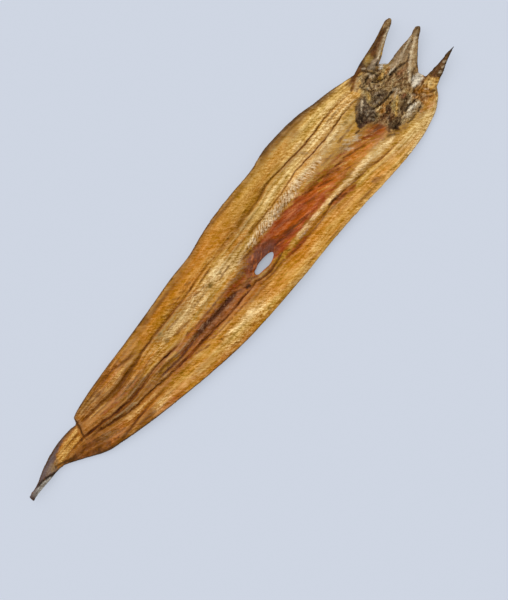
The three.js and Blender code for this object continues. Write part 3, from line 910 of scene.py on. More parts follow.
stroke("chestnut", [(203, 32), (212, 33)], 1.2, 0.55, -0.2)
stroke("slate", [(200, 35), (214, 36), (230, 37.4)], 1.0, 0.45)
stroke("chestnut", [(155, 27.4), (180, 28.6), (206, 30.2), (222, 32.8), (250, 37), (284, 41),
                    (304, 45.6)], 1.8, 0.42)
tell("middle of the body")

# %% Spots and ridges towards the head
stroke("rust", [(350, -31.6), (364, -33.6), (378, -33)], 2.4, 0.7)
stroke("rust", [(420, -30.6), (434, -33), (448, -36)], 2.8, 0.75)
stroke("umber", [(426, -31.6), (438, -34.4)], 0.8, 0.55, -0.2)
stroke("umber", [(417, -28.8), (426, -29.6), (433, -30.6)], 1.0, 0.85, -0.4)
stroke("chestnut", [(462, -46), (470, -49)], 2.4, 0.6)
stroke("chestnut", [(440, -49.6), (456, -51)], 1.2, 0.4)
stroke("chestnut", [(437.4, 26), (441.6, 21)], 1.8, 0.45)
# More cream ridges that are painted highlights, lifted a little.
for ridge in ([(374, 20), (386, 22), (396, 23.4)], [(434, 34), (447, 34.6)],
              [(406, 11.4), (424, 12.4), (440, 12)], [(462, -26), (476, -29.4)], [(374, -25), (388, -25.6)],
              [(394, -25.4), (404, -26)], [(410, -25.4), (440, -26.6)], [(492, -30), (508, -34)],
              [(476, 36), (498, 36.6)], [(452, 13), (480, 14)]):
    stroke("cream", ridge, 1.6, 0.55, 0.35)
stroke("lilac", [(373, -28.4), (385, -28.6)], 1.1, 0.6)
for seam in ([(470, 5), (482, 5), (493, 6)], [(330, 3), (344, 5)], [(312, -30), (330, -31.4), (346, -31)],
             [(474, 26), (496, 27)], [(500, -27), (512, -30)], [(346, -32), (372, -33.8), (404, -33.6)],
             [(404, -33), (430, -34), (452, -36)]):
    stroke("chestnut", seam, 0.7, 0.55, -0.25)
for px, py in ((490, 12.4), (493, 16), (496.5, 15.6), (499, 12), (503, 18), (486, 14)):
    stroke("olive", [(px - 0.8, py + 1.4), (px + 0.8, py - 1.4)], 0.7, 0.7, -0.2)
for strike in ([(433, 8), (438, 3.4)], [(439, 8.4), (444, 3.6)], [(446, 7), (450, 2.6)]):
    stroke("chestnut", strike, 0.5, 0.3, -0.1)
stroke("umber", [(488.6, -2.2), (494, -3.2)], 0.8, 0.9, -0.5)
tell("towards the head")

# %% [markdown]
# ## Belly cavity
#
# The bare lining of the belly is the reddest part. It is purple-brown near the vent, glows orange in
# its middle and pales to tan towards the head, where slanted strokes of pale sinew cross it. An outline
# that is shaken by noise gives the torn edge. Inside it the colours change softly, which ovals do well,
# but the sinews have edges, so those are strokes.

# %% Lining of the belly cavity
# Each zone: its paint, its middle, half length, half width, strength and slant.
LINING_ZONES = [
    ("plum", 334, -7, 16, 4.4, 0.72), ("plum", 346, -15, 12, 6, 0.72), ("plum", 318, -12, 8, 4, 0.72),
    ("ember", 380, -12, 24, 4, 0.75, -10), ("ember", 460, -14.5, 16, 3.4, 0.75, -12),
    ("ember", 428, -12, 20, 4.6, 0.75, -14), ("rust", 497, -14, 11, 4.5, 0.4, -20),
    ("plum", 500, -16, 10, 4, 0.4), ("plum", 318, -18, 8, 3, 0.4), ("amber", 470, -17, 22, 5, 0.55),
    ("mauve", 344, -11.5, 9, 3.6, 0.45), ("mauve", 331, -4, 12, 3.6, 0.3), ("mauve", 328, -11, 11, 3, 0.35),
    ("plum", 327, -11.6, 11, 3, 0.65), ("plum", 374, -19, 24, 2.4, 0.3),
]
torn_edge = cavity_gap + 2.2 * lumps(14, 3.2, slant=-14, seed=63) + 1.4 * wobble
in_cavity = ease(torn_edge, 3.5, -4.5)
lay("rust", in_cavity * (0.94 - 0.5 * ease(x, 405, 462)), 1.0, 0.0)
for zone in LINING_ZONES:
    dab(*zone)
tell("lining")

# %% Strokes in the belly cavity
stroke("plum", [(344, -5), (350, -7), (354, -10)], 1.9, 0.6)
stroke("plum", [(352, -15), (368, -17), (384, -18.6), (396, -20)], 1.2, 0.75, -0.4)
stroke("chestnut", [(357, -10.6), (370, -14.6), (392, -19)], 0.9, 0.7, -0.3)
stroke("chestnut", [(320, 0), (338, -1), (352, -3)], 1.0, 0.6, -0.3)
stroke("rust", [(346, -3), (370, -5.4), (404, -7)], 3.0, 0.8, 0.2)
stroke("rust", [(344, -23), (372, -21.6), (410, -21.4), (450, -22.4)], 2.0, 0.55)
for strike in ([(408, -2.6), (420, -7.6)], [(416, -2.4), (428, -7.4)], [(427, -3.4), (440, -9.4)],
               [(438, -8), (452, -13)], [(450, -8), (462, -13)], [(424, -9), (438, -15)],
               [(462, -9), (474, -14)], [(400, -9), (414, -15)], [(444, -15), (460, -20)],
               [(474, -12), (486, -18)]):
    stroke("chestnut", strike, 0.75, 0.65, -0.3)
for strike in ([(471, 0.6), (480, -7)], [(475, 2), (485, -6.4)], [(479, -3), (488, -11)],
               [(470, -5.4), (477, -11)], [(484, -2), (493, -9)], [(466, -1), (473, -6)]):
    stroke("bone", strike, 0.8, 0.6, 0.3)
for strike in ([(420, -12), (432, -17)], [(452, -11), (466, -17)], [(486, -12), (498, -19)],
               [(492, -10.6), (503, -16)]):
    stroke("honey", strike, 0.7, 0.5, 0.3)
stroke("rust", [(490, -12), (500, -16), (508, -19)], 2.4, 0.35)
for zone in ((372, -5, 28, 2.6, 0.25), (460, -12, 26, 4, 0.25), (446, 3, 18, 2.6, 0.3)):
    dab("chestnut", *zone)
stroke("plum", [(502, -15), (508, -17), (514, -17)], 2.4, 0.75)
for zone in ((468, -2.4, 8, 3.6), (496, -4.6, 7, 3.6), (490, 6, 12, 1.8), (422, 3, 11, 1.8),
             (455, 1.4, 18, 2), (503, -13, 9, 4)):
    dab("chestnut", *zone)
tell("belly cavity")

# %% Rib ends and the fold beside the vent
for start in range(351, 380, 5):
    stroke("white", [(start, 1.8), (start + 3.6, 6.2)], 1.0, 0.42, 0.3)
for start in range(389, 414, 5):
    stroke("lilac", [(start, 3.6), (start + 3.6, 8.6)], 0.9, 0.4, 0.25)
stroke("umber", [(311, -23.6), (318, -26.6), (330, -27.6), (341, -26.8), (350, -24.8)], 0.9, 0.6, -0.3)
stroke("olive", [(316, -24), (326, -25), (336, -24.6)], 1.1, 0.6, 0.3)
stroke("umber", [(308, -17), (312, -20), (318, -23)], 1.1, 0.6)
print("cavity", round(float((cavity_gap < 0).mean() * 100), 1), "per cent of the points")

# %% [markdown]
# ## Torn throat
#
# Behind the jaws the gills and the throat were torn open and dried into folded shreds: a grey gill
# flap, dark hollows, thin amber and bone-coloured slivers. Ridged noise gives the crumpled ground, with
# darker browns in its pockets as painted shade, and the brush sets the shreds that can be told apart.

# %% Crumpled ground of the throat
THROAT = [
    (494, 0), (502, 9.5), (510, 15.5), (519, 20), (526, 29), (534, 35), (546, 33), (556, 24), (563, 15),
    (572, 4), (575, -10), (574, -22), (568, -36), (556, -37), (532, -35), (520, -32.5), (512, -26),
    (512, -15), (505, -6),
]
# Each tone: its paint, the crumpling at which it starts and is full, and its strength. Chestnut and
# umber go into the pockets of the crumpled relief as painted shade.
THROAT_TONES_AND_POCKET_SHADE = [("olive", 0.6, 1.0, 0.5), ("chestnut", 0.45, 0.1, 0.75), ("umber", 0.3, 0.0, 0.8)]

in_throat = ease(outline_gap(THROAT) + 2 * wobble, 1, -4)
web = 0.9 * oval(x, y, 567.5, -13.6, 6.5, 4.4)
cheek = 0.6 * oval(x, y, 565, -28, 8, 9)


def folds(length, width, slant, seed):
    """Ridged noise with sharp crests: 1 on a crest, falling to about -1 in the pockets."""
    return 1 - 1.8 * np.abs(lumps(length, width, slant, seed))


shreds = 0.6 * folds(20, 7, 46, 32) + 0.5 * folds(9, 4, -30, 33) + 0.45 * folds(4.5, 2.6, 40, 34)
relief += in_throat * (1 - web) * np.clip(shreds, -1.6, 1.3)
patch("tan", THROAT)
crumpled = 0.5 + 0.5 * np.clip(shreds, -1, 1)
# Painted shade: chestnut and umber fill the pockets of the crumpled relief.
for paint, low, high, strength in THROAT_TONES_AND_POCKET_SHADE:
    lay(paint, in_throat * ease(crumpled, low, high), strength, 0.0)
torn_relief = in_throat * shreds
print("throat relief", round(float(torn_relief.min()), 1), "to", round(float(torn_relief.max()), 1), "mm")

# %% Gill flap
patch("slate", [(494, 0.5), (502, 9.5), (508, 14.2), (519, 17.6), (522.5, 14), (519.5, 8), (519.5, 0),
                (516.5, -6.5), (511, -8.4), (503.5, -4), (496, -2.5)], 0.95, 0.7)
# A painted shadow: a dark line along the edge of the flap, pressed in as well.
stroke("umber", [(494.5, 0.5), (501, 8), (507, 13.6), (517, 17)], 0.8, 0.8, -0.6)
stroke("soot", [(496, -1.4), (502, 1.4), (506, 6)], 3.0, 0.85, -0.3)
stroke("plum", [(497, -2), (503, -3), (507, -6)], 1.6, 0.7)
for px, py in ((508, 7), (512, 4.6), (515.5, 7), (510, 1), (514, 1.6), (509, -3.4), (513.4, -3.6),
               (511, -6.4), (517, -1.6)):
    stroke("ash", [(px - 0.9, py + 0.8), (px + 0.9, py - 0.8)], 1.1, 0.8, 0.5)
for px, py in ((510, 5.6), (514, 4), (512, -1.2), (508, -1), (515, -5), (507, 4)):
    stroke("soot", [(px - 0.8, py), (px + 0.8, py)], 0.8, 0.75, -0.4)
stroke("bone", [(509.6, 8.4), (513.4, 10.6), (517.2, 13.8)], 1.0, 0.8, 0.6)
stroke("bone", [(514, 12.6), (517, 14.6)], 0.9, 0.8, 0.4)
stroke("slate", [(517, 8.4), (521, 13), (521, 16.4)], 1.5, 0.8, 0.3)
tell("gill flap")

# %% Folds beside the gill flap
stroke("honey", [(518, 19), (524, 23), (531, 28.6)], 2.4, 0.75, 0.5)
stroke("tan", [(520, 26), (526, 30.4), (534, 33)], 1.8, 0.8, 0.4)
stroke("chestnut", [(517.6, 29), (523, 31.4), (530, 35.6)], 1.8, 0.9, -0.5)
stroke("umber", [(519, 33), (526, 36.4), (534, 37.6)], 1.2, 0.7)
stroke("chestnut", [(520.6, 24), (525, 25.6), (529, 26)], 0.6, 0.7, -0.3)
stroke("olive", [(520, 7), (524.6, 12), (526.4, 18)], 2.0, 0.8, 0.4)
stroke("honey", [(522, 8.6), (525, 12.6)], 0.8, 0.5, 0.2)
stroke("umber", [(526.6, 8.6), (529.4, 13), (528.8, 18), (526.4, 21)], 0.8, 0.75, -0.6)
stroke("tan", [(528, 24), (534, 27), (540, 28)], 2.2, 0.6, 0.4)
stroke("soot", [(527.4, 22), (533, 24.2), (541, 26)], 0.9, 0.8, -0.8)
stroke("lilac", [(540, 24), (544.4, 21.4)], 1.6, 0.85, 0.5)
stroke("plum", [(534, 21.8), (539, 20.6)], 1.3, 0.6)
stroke("bone", [(541, 27.4), (542.6, 25.6)], 1.0, 0.7, 0.3)
stroke("soot", [(548, 18.6), (545.6, 22), (542.6, 28), (541, 31)], 0.8, 0.8, -0.6)
stroke("soot", [(537.6, 19), (541, 15.2), (546.4, 12.6), (551, 12)], 0.9, 0.85, -0.8)
stroke("umber", [(539, 18), (544, 17.4), (546, 20)], 1.2, 0.7, -0.4)
stroke("honey", [(544, 16), (548, 15), (551, 17)], 1.5, 0.65, 0.4)
stroke("umber", [(531, 11), (532.4, 16), (534.6, 20)], 0.7, 0.75, -0.5)
stroke("lilac", [(534, 15), (538, 12.4)], 1.6, 0.5, 0.3)
stroke("bone", [(529.6, 19.4), (531.4, 16)], 0.9, 0.6, 0.3)
tell("folds")

# %% Lining and slivers in the middle of the throat
patch("slate", [(520.5, 7), (530, 10), (538, 9), (541, 3), (540, -2), (528, -0.6), (520, 0.6)], 0.85)
stroke("soot", [(531, 6), (534, 4.6)], 1.0, 0.8, -0.5)
stroke("ash", [(522, 3), (527, 1.6), (533, 1)], 1.4, 0.6, 0.3)
stroke("lilac", [(529.6, 8.6), (536, 7.4)], 1.0, 0.55, 0.2)
patch("tan", [(538, 10), (552, 11), (557, 9.5), (571, 7), (572, 1), (562, -9), (552, -10),
              (541, -7), (541, 2)], 0.55)
for seam in ([(541, 4.4), (550, 4.6)], [(544, 8), (556, 7.4)], [(550, 1), (560, -2)], [(553, -4), (558, -8)],
             [(544, -4.6), (550, -8)], [(556, 3), (564, 0.4)], [(560, -3), (566, -6)]):
    stroke("chestnut", seam, 0.8, 0.65, -0.35)
stroke("rust", [(561, 4.6), (571, 4)], 2.4, 0.5)
stroke("soot", [(518.6, 0.2), (526, -1.8), (533, -3), (541, -2.6), (551, -2.2)], 0.95, 0.9, -0.9)
patch("amber", [(518.5, -2.5), (526, -3.5), (535, -5), (541, -5.5), (540, -8), (531, -8.5), (524, -10.5),
                (519, -8)], 0.55, 0.4)
stroke("cream", [(519.4, -2.8), (526, -5)], 0.9, 0.8, 0.3)
stroke("olive", [(530, -5.4), (540, -6)], 1.1, 0.6)
for sliver in ([(540.6, -8), (549.6, -4.6)], [(545, -1.4), (550.4, -6.6)], [(547, -8.6), (551, -8)]):
    stroke("bone", sliver, 0.9, 0.75, 0.5)
stroke("soot", [(540.6, -1.4), (544.6, -3.8)], 1.0, 0.8, -0.4)
tell("middle of the throat")

# %% Hollows and bones at the right of the throat
stroke("soot", [(518.4, -14), (522, -12.6), (526.4, -12)], 1.1, 0.95, -1.1)
stroke("plum", [(526.4, -9), (530.6, -13.4)], 1.9, 0.85, -0.5)
stroke("soot", [(528, -8.6), (532, -9), (538, -8.6)], 0.7, 0.7, -0.5)
patch("chestnut", [(513, -10), (518, -9), (528, -15), (529, -22), (519, -21), (512, -15)], 0.6)
stroke("lilac", [(519.6, -18), (523, -16.6)], 1.3, 0.5, 0.3)
stroke("tan", [(515, -20), (518, -18)], 1.1, 0.6, 0.3)
patch("olive", [(528.5, -15.5), (532.5, -10.5), (538, -9.6), (540.5, -10.6), (535, -17),
                (531, -19)], 0.9, 0.9, 0.7)
stroke("honey", [(527.6, -21.4), (534, -17.4), (543.4, -9.4)], 0.8, 0.9, 0.7)
patch("slate", [(531.5, -24.5), (537, -17.5), (546, -11.5), (551, -12.5), (553, -20), (548, -24),
                (540, -24.8)], 0.65, 0.3)
stroke("umber", [(533.4, -21.8), (541, -20.4), (548, -16)], 1.5, 0.6, -0.3)
stroke("bone", [(545.6, -22.6), (552.4, -20.6)], 1.0, 0.65, 0.3)
stroke("rust", [(545, -14), (550, -14.4)], 1.5, 0.35)
stroke("soot", [(532.6, -25.6), (540, -25), (546, -24.4), (552, -25.2), (558, -27.4)], 0.85, 0.95, -1.0)
patch("bone", [(531, -27.6), (540, -26.4), (550, -26.4), (554.5, -28.4), (552, -31.6), (542, -32),
               (533.5, -31.4)], 0.95, 0.6)
stroke("white", [(540, -27.4), (546, -27.4), (550, -28)], 0.9, 0.6, 0.2)
stroke("tan", [(540, -30.4), (552, -30.6)], 0.6, 0.7, -0.3)
stroke("umber", [(529.6, -34.4), (535, -35.6), (545, -34.8), (551, -33.4)], 0.7, 0.65, -0.5)
stroke("cream", [(525.6, -28.4), (530, -30.6), (534.4, -33.2)], 0.9, 0.85, 0.5)
patch("umber", [(513, -23), (519, -20.5), (527, -22), (530, -26), (526, -30.5), (520, -32.5),
                (514.5, -29)], 0.9, -0.6)
stroke("soot", [(517, -27.6), (521, -28.6), (525, -28)], 1.8, 0.7, -0.4)
stroke("umber", [(511, -26), (515, -30), (521, -33)], 0.8, 0.7, -0.4)
stroke("chestnut", [(500, -7), (508, -12), (513, -19), (512, -27)], 2.4, 0.55)
stroke("chestnut", [(513, -31), (520, -34), (529, -36)], 2.0, 0.55)
stroke("tan", [(525, 24), (534, 26.8)], 2.2, 0.65)
stroke("tan", [(508, 14.8), (517, 18.4)], 1.4, 0.45)
stroke("umber", [(508, -28), (513, -32)], 2.4, 0.6)
tell("torn throat")

# %% Cheek
patch("amber", [(553, -20), (560, -17), (572, -19), (571, -30), (567, -37), (556, -37), (555, -29)], 0.5)
patch("honey", [(570, -20.5), (577, -18.5), (581, -21), (583, -26), (580, -31), (572, -32)], 0.6, 0.4)
for seam in ([(571, -22), (576, -30)], [(575, -20), (580, -29)], [(568, -28), (573, -34)]):
    stroke("chestnut", seam, 0.7, 0.55, -0.3)
stroke("cream", [(571, -27), (577, -24.6)], 1.3, 0.5, 0.2)
for seam in ([(556.6, -19.6), (559.6, -27.6)], [(560.6, -20.4), (566, -20.8), (571, -20)],
             [(561.6, -30.6), (567.4, -36.4)], [(563, -24), (565, -29)], [(568, -31), (572, -34)]):
    stroke("umber", seam, 0.9, 0.7, -0.45)
for crest in ([(559.4, -14), (561.4, -19)], [(553.4, -18), (556, -22)], [(561, -26), (563, -31)],
              [(566, -23), (569, -28)]):
    stroke("bone", crest, 0.8, 0.5, 0.4)
for edge in ([(557, -28), (562, -32), (566, -35)], [(576.4, -16.8), (580.4, -21.4), (584, -26)]):
    stroke("chestnut", edge, 2.0, 0.55)
stroke("amber", [(555, -35), (562, -38.6), (570, -37)], 2.0, 0.5)
stroke("ember", [(548, -37), (556, -40), (564, -41.6)], 1.4, 0.4)
# A painted highlight: a cream band that lightens the right rim of the head where it curls away from the
# light.
stroke("cream", [(500, -55.6), (528, -54), (548, -50.6), (560, -47), (568, -41.6)], 1.6, 0.6)
tell("cheek")

# %% [markdown]
# ## Jaws
#
# Three prongs end the head: the lower jaw in the middle, which is pale and has a groove between its two
# branches, and the halves of the upper jaw, dark brown skin over bone with a tan fringe of gums. The
# solid already has their shape. Patches give each one its ground, and long strokes that lift or press
# make the groove, the bones and the gums, since all of these run along the prongs.

# %% Lower jaw and the web beside it
patch("tan", [(552, 12), (556, 21), (566, 20.5), (580, 20.5), (600, 23), (613, 22), (612, 14), (602, 12),
              (590, 3.4), (578, -6), (575, -9.6), (566, -9.8), (562, -9), (572, 1)], 0.9)
stroke("ash", [(558, 14.6), (575, 17), (594, 19.4)], 3.0, 0.7)
stroke("olive", [(552.6, 16), (560, 19), (567, 18)], 2.4, 0.7)
stroke("amber", [(553, 14.4), (560, 15.4)], 1.4, 0.6)
stroke("slate", [(562, 17.6), (580, 19), (602, 21)], 1.6, 0.45)
stroke("umber", [(562, 19.4), (570, 19.6), (580, 20.8), (600, 22)], 0.8, 0.75)
stroke("chestnut", [(564, 3), (572, 3.6), (579, 6.6)], 1.8, 0.5)
stroke("bone", [(555, 12.2), (563, 11.8), (572, 12.4), (584, 15.6), (598, 19)], 0.9, 0.7, 0.6)
stroke("white", [(556, 12), (564, 11.6)], 0.8, 0.6, 0.2)
stroke("tan", [(566, 15.6), (578, 18), (594, 20.4)], 0.8, 0.6, -0.3)
stroke("soot", [(555, 9.9), (565, 8.9), (572, 6.9), (577, 6), (583, 9)], 0.75, 0.85, -1.0)
stroke("ash", [(573, 9.4), (583, 12), (595, 16)], 3.0, 0.5, -0.3)
# The branch is pale bone, and this stroke along its crest is partly a painted highlight.
stroke("bone", [(562, -10), (569, -3), (577, 2.6), (588, 9.4), (602, 16.6)], 1.5, 0.7, 0.9)
stroke("tan", [(566, -8), (576, -0.6), (588, 6.6), (602, 14)], 1.7, 0.7, 0.3)
# A painted shadow under the branch.
stroke("slate", [(564.6, -9.8), (572, -5.8), (576, -4)], 0.8, 0.7, -0.4)
stroke("umber", [(576.6, -9), (579.4, -4.6), (590, 3.4), (602, 11.8)], 0.7, 0.6)
patch("umber", [(598, 22), (603, 24), (609, 22.6), (613, 18.5), (607, 13), (601, 13.6)], 0.7)
stroke("tan", [(600, 18), (607, 18.6)], 1.2, 0.5, 0.3)
patch("white", [(559, -17.6), (561, -12.4), (565, -9.6), (570, -8.6), (574.8, -10), (576, -13),
                (574.4, -16.8), (567, -18)], 0.88)
stroke("chestnut", [(562, -17.4), (570, -18.6), (578, -18.4)], 1.2, 0.7, -0.3)
stroke("ash", [(573, -16), (574.4, -11.6)], 0.8, 0.4)
patch("pewter", [(551.5, 21.4), (556, 27.4), (561, 25), (564, 19.8), (556, 20.6)], 0.75)
tell("lower jaw")

# %% Upper jaw, left half
patch("umber", [(524, 34.5), (532, 39.5), (542, 41), (552, 43), (565, 45), (576, 46.5), (590, 51),
                (599, 49), (598, 42), (588, 40), (575, 36), (566, 31), (560, 27.4), (552, 26), (545, 29.6),
                (541, 32.6), (533, 32.6)], 0.9)
stroke("soot", [(525, 35), (532, 38.4), (541, 39.6), (550, 41.6)], 1.3, 0.85)
stroke("umber", [(552, 42.4), (560, 43.4), (575, 45.6), (590, 50.4)], 1.2, 0.85)
patch("olive", [(545.5, 33.5), (548.5, 39.2), (556.4, 39.6), (557, 34), (551, 32.6)], 0.75)
stroke("honey", [(548.6, 36.4), (554, 37.4)], 1.5, 0.25, 0.2)
patch("ash", [(543, 30.4), (550, 32.4), (560, 31.6), (562, 28.4), (555, 25), (547, 24.6)], 0.85)
stroke("soot", [(551.6, 25.8), (555, 27.2), (557.6, 28.8)], 0.9, 0.75, -0.5)
stroke("lilac", [(553, 30), (560, 30)], 0.9, 0.6, 0.3)
stroke("chestnut", [(557, 36), (568, 38.6), (582, 43.2)], 2.2, 0.6)
stroke("soot", [(562, 38.2), (572, 41), (582, 44.6)], 0.6, 0.4, -0.4)
stroke("bone", [(559, 29.6), (567, 33.4), (577, 38), (589, 41.8)], 1.0, 0.8, 0.3)
stroke("tan", [(560, 32.8), (568, 36), (578, 40)], 0.8, 0.6, -0.2)
stroke("tan", [(586, 46), (597, 45)], 2.2, 0.75, 0.2)
stroke("umber", [(531, 35.2), (538, 34.6)], 0.9, 0.85, -0.4)
stroke("chestnut", [(519, 36.6), (528, 35), (540, 36.6)], 2.4, 0.65)
stroke("umber", [(538.6, 31.6), (542.4, 35.4)], 1.0, 0.85, -0.4)
stroke("honey", [(534, 33.2), (538.4, 32.4)], 0.8, 0.6, 0.3)
stroke("bone", [(541, 34.4), (543.4, 33.2)], 0.8, 0.5, 0.3)
tell("left upper jaw")

# %% Upper jaw, right half
patch("umber", [(578, -17.4), (590, -17.4), (600, -17), (619, -17), (619, -21.4), (611, -23), (600, -27),
                (590, -31), (585, -31), (582, -24)], 0.92)
stroke("soot", [(577, -17.2), (592, -18.6), (618, -19)], 0.9, 0.85)
stroke("chestnut", [(584, -22), (596, -22.4), (606, -20.8)], 1.3, 0.5, 0.3)
for speck in ([(588, -25.4), (591, -26.4)], [(594, -24.4), (597.4, -25)], [(599, -22), (602, -22.6)]):
    stroke("bone", speck, 0.7, 0.6, 0.3)
stroke("chestnut", [(580.6, -21), (584.4, -27)], 1.6, 0.7)
stroke("soot", [(586, -29.6), (592, -28), (600, -25), (612, -21.4)], 0.9, 0.6)
print("lifted by", round(float(relief.min()), 1), "to", round(float(relief.max()), 1), "mm")

# %% [markdown]
# ## Rims and skin side
#
# The rims dried thin and uneven, and so did the bony jaws and the tail. Low noise is enough for that.
# Then all the relief that was added up so far pushes each point along its normal, in one go at the end,
# because every step before measured the mesh as it was. The skin side is drawn into wrinkles, and since
# it lies on the table, it is only ever pressed inwards.

# %% Unevenness of the rims, jaws and tail
near_rim = ease(np.minimum(left_rim - y, y - right_rim), 7, 0) * split_body
relief += near_rim * (0.25 * lumps(18, 6, seed=51) + 0.15 * lumps(5, 4, seed=52))
bony = ease(x, 556, 572)
relief += bony * (0.2 * lumps(18, 2.4, slant=14, seed=53) + 0.12 * lumps(7, 1.6, slant=20, seed=54))
whole_tail = ease(x, 84, 70)
relief += whole_tail * (0.2 * lumps(20, 2.6, slant=14, seed=42) + 0.1 * lumps(7, 1.6, slant=20, seed=43))
print("relief from", round(float(relief.min()), 1), "to", round(float(relief.max()), 1), "mm")

# %% Push the points out and in
SKIN_PRESS = 0.15
SKIN_WRINKLES = 0.13

skin_relief = SKIN_WRINKLES * np.clip(lumps(26, 5, seed=57, over=lane), -1, 1) - SKIN_PRESS
push = flesh_side * ease(up, 0.1, 0.6) * relief + (1 - flesh_side) * skin_relief
points += normals * (push * MM)[:, None]
points[:, 2] = np.maximum(points[:, 2], cad_box[0].z)
eel.data.vertices.foreach_set("co", points.ravel())
eel.data.update()
select_only(eel)
bpy.ops.object.shade_smooth()
print("pushed by", round(float(push.min()), 2), "to", round(float(push.max()), 2), "mm")

# %% [markdown]
# ## Fields for the finish
#
# The finish changes from place to place, so the material has to know where it is. Distances to the
# creases and rims are stored on the mesh as they are, in millimetres, because a distance stays exact
# between two points of the mesh, and the material then draws each edge as sharp as it needs. The
# brush's stain goes along as a colour, with its cover in the alpha.

# %% Store the fields
GAP_LIMIT = 12
HEIGHT_LIMIT = 2

fields = {
    "flesh_side": flesh_side,
    "across": across,
    "left_rim": left_rim - y,
    "right_rim": y - right_rim,
    "rib_row": rib_row,
    "cord_row": cord_row,
    "middle_gap": np.clip(across * body_width / 2, -GAP_LIMIT, GAP_LIMIT),
    "height": np.clip(relief, -HEIGHT_LIMIT, HEIGHT_LIMIT),
    "in_throat": np.maximum(in_throat, 0.55 * bony) * (1 - web) * (1 - cheek),
    "in_cavity": in_cavity,
}
for name, (gap, press) in crease_gaps.items():
    fields[name + "_gap"] = np.clip(gap, -GAP_LIMIT, GAP_LIMIT)
    fields[name + "_press"] = press

for name, values in fields.items():
    stored = eel.data.attributes.new(name, "FLOAT", "POINT")
    stored.data.foreach_set("value", values.astype(np.float32))

weave_field = eel.data.attributes.new("weave", "FLOAT_VECTOR", "POINT")
weave_field.data.foreach_set("vector", np.column_stack([x, lane, 0 * x]).astype(np.float32).ravel())
stain_field = eel.data.attributes.new("stain", "FLOAT_COLOR", "POINT")
stain_field.data.foreach_set("color", np.column_stack([stain, cover]).astype(np.float32).ravel())
print(len(eel.data.attributes), "fields stored")

# %% [markdown]
# ## Dried flesh
#
# The finish is mixed in layers, as a painter would glaze it: a golden ground, the brush's stains, the
# ribs, the dark of the creases, then light and dark streaks over all of it, and last the skin side.
# Streaks along the fibres and across them break up every layer. A handful of helpers keep the node
# tree short: each returns a socket that the next layer plugs in.

# %% Helpers for making nodes
flesh = bpy.data.materials.new("dried_flesh")
flesh.use_nodes = True
tree = flesh.node_tree
tree.nodes.clear()


def node(kind, settings=None, **inputs):
    """A new shader node with its settings, and its inputs set or linked by name."""
    made = tree.nodes.new("ShaderNode" + kind)
    for name, value in (settings or {}).items():
        setattr(made, name, value)
    for name, value in inputs.items():
        plug(made.inputs[name.replace("_", " ")], value)
    return made


def plug(socket, value):
    if isinstance(value, bpy.types.NodeSocket):
        tree.links.new(value, socket)
    else:
        socket.default_value = value


def field(name, output="Fac"):
    return node("Attribute", {"attribute_name": name}).outputs[output]


def sums(operation, first, second=0.0):
    made = node("Math", {"operation": operation})
    plug(made.inputs[0], first)
    plug(made.inputs[1], second)
    return made.outputs[0]


def count(step):
    """Prints how many nodes the finish has by now."""
    print(step + ":", len(tree.nodes), "nodes")


count("helpers")


# %% Helpers for mixing
def rest_of(share):
    return sums("SUBTRACT", 1.0, share)


def swing(value):
    """How far a value from 0 to 1 is above or below its middle."""
    return sums("SUBTRACT", value, 0.5)


def fade(value, low, high):
    """0 at low, 1 at high, eased. It falls instead of rising where low is above high."""
    start, end = (0.0, 1.0) if low < high else (1.0, 0.0)
    low, high = min(low, high), max(low, high)
    made = node("MapRange", {"interpolation_type": "SMOOTHSTEP"}, Value=value, From_Min=low, From_Max=high,
                To_Min=start, To_Max=end)
    return made.outputs["Result"]


def times(*shares):
    total = shares[0]
    for share in shares[1:]:
        total = sums("MULTIPLY", total, share)
    return total


def blend(*parts):
    """Adds up pairs of a value and how much of it is taken."""
    total = times(*parts[0])
    for value, amount in parts[1:]:
        total = sums("ADD", total, times(value, amount))
    return total


def glaze(under, over, share):
    """Lays one colour over another, as far as share says."""
    made = node("Mix", {"data_type": "RGBA"})
    # The mix node has sockets for numbers, vectors and colours. Inputs 6 and 7 and output 2 are for colours.
    plug(made.inputs[0], share)
    plug(made.inputs[6], under)
    plug(made.inputs[7], over)
    return made.outputs[2]


count("mixing")

# %% Streaks that several layers share
weave = field("weave", "Vector")
on_eel = node("TexCoord").outputs["Object"]
place = node("VectorMath", {"operation": "SCALE"}, Vector=on_eel, Scale=1 / MM).outputs[0]


def streaks(length, width, slant=0.0, seed=0.0, detail=2.0, roughness=0.55, over=weave):
    """Noise from 0 to 1 in streaks of that length and width, in mm, turned by slant degrees."""
    turned = node("Mapping", {"vector_type": "TEXTURE"}, Vector=over, Location=(90 * seed, 0, 30 * seed),
                  Rotation=(0, 0, math.radians(slant)), Scale=(length, width, 2 * width))
    made = node("TexNoise", Vector=turned.outputs["Vector"], Scale=1.0, Detail=detail, Roughness=roughness)
    return made.outputs[0]


fibres = streaks(44, 2.0, seed=1)
bands = streaks(70, 11, seed=2, detail=3)
short_grain = streaks(5.0, 1.1, slant=-48, seed=3, over=place)
long_grain = streaks(9, 1.9, slant=-26, seed=13, detail=3, over=place)
grain = blend((short_grain, 0.6), (long_grain, 0.4))
blotches = streaks(9, 5.5, slant=-30, seed=14, detail=4, roughness=0.65, over=place)
mottle = streaks(30, 6.5, slant=-8, seed=4, detail=5, roughness=0.62)
unrest = streaks(26, 14, seed=8)
grit = streaks(1.5, 1.3, seed=5, detail=2, over=place)
weave_parts = node("SeparateXYZ", Vector=weave).outputs
along_body = weave_parts["X"]
upper_flank = times(fade(weave_parts["Y"], 19, 25), fade(along_body, 450, 400), fade(along_body, 150, 200))
count("shared streaks")

# %% [markdown]
# ## Gold and stains
#
# Dried flesh is never one gold. It goes from straw to amber in long bands and gets browner towards the
# tail, and a row of tones picked by stretched noise gives that. The brush's stains come on top. Their
# edges are soft, so the streaks break them up, because a soft edge alone would look sprayed on.

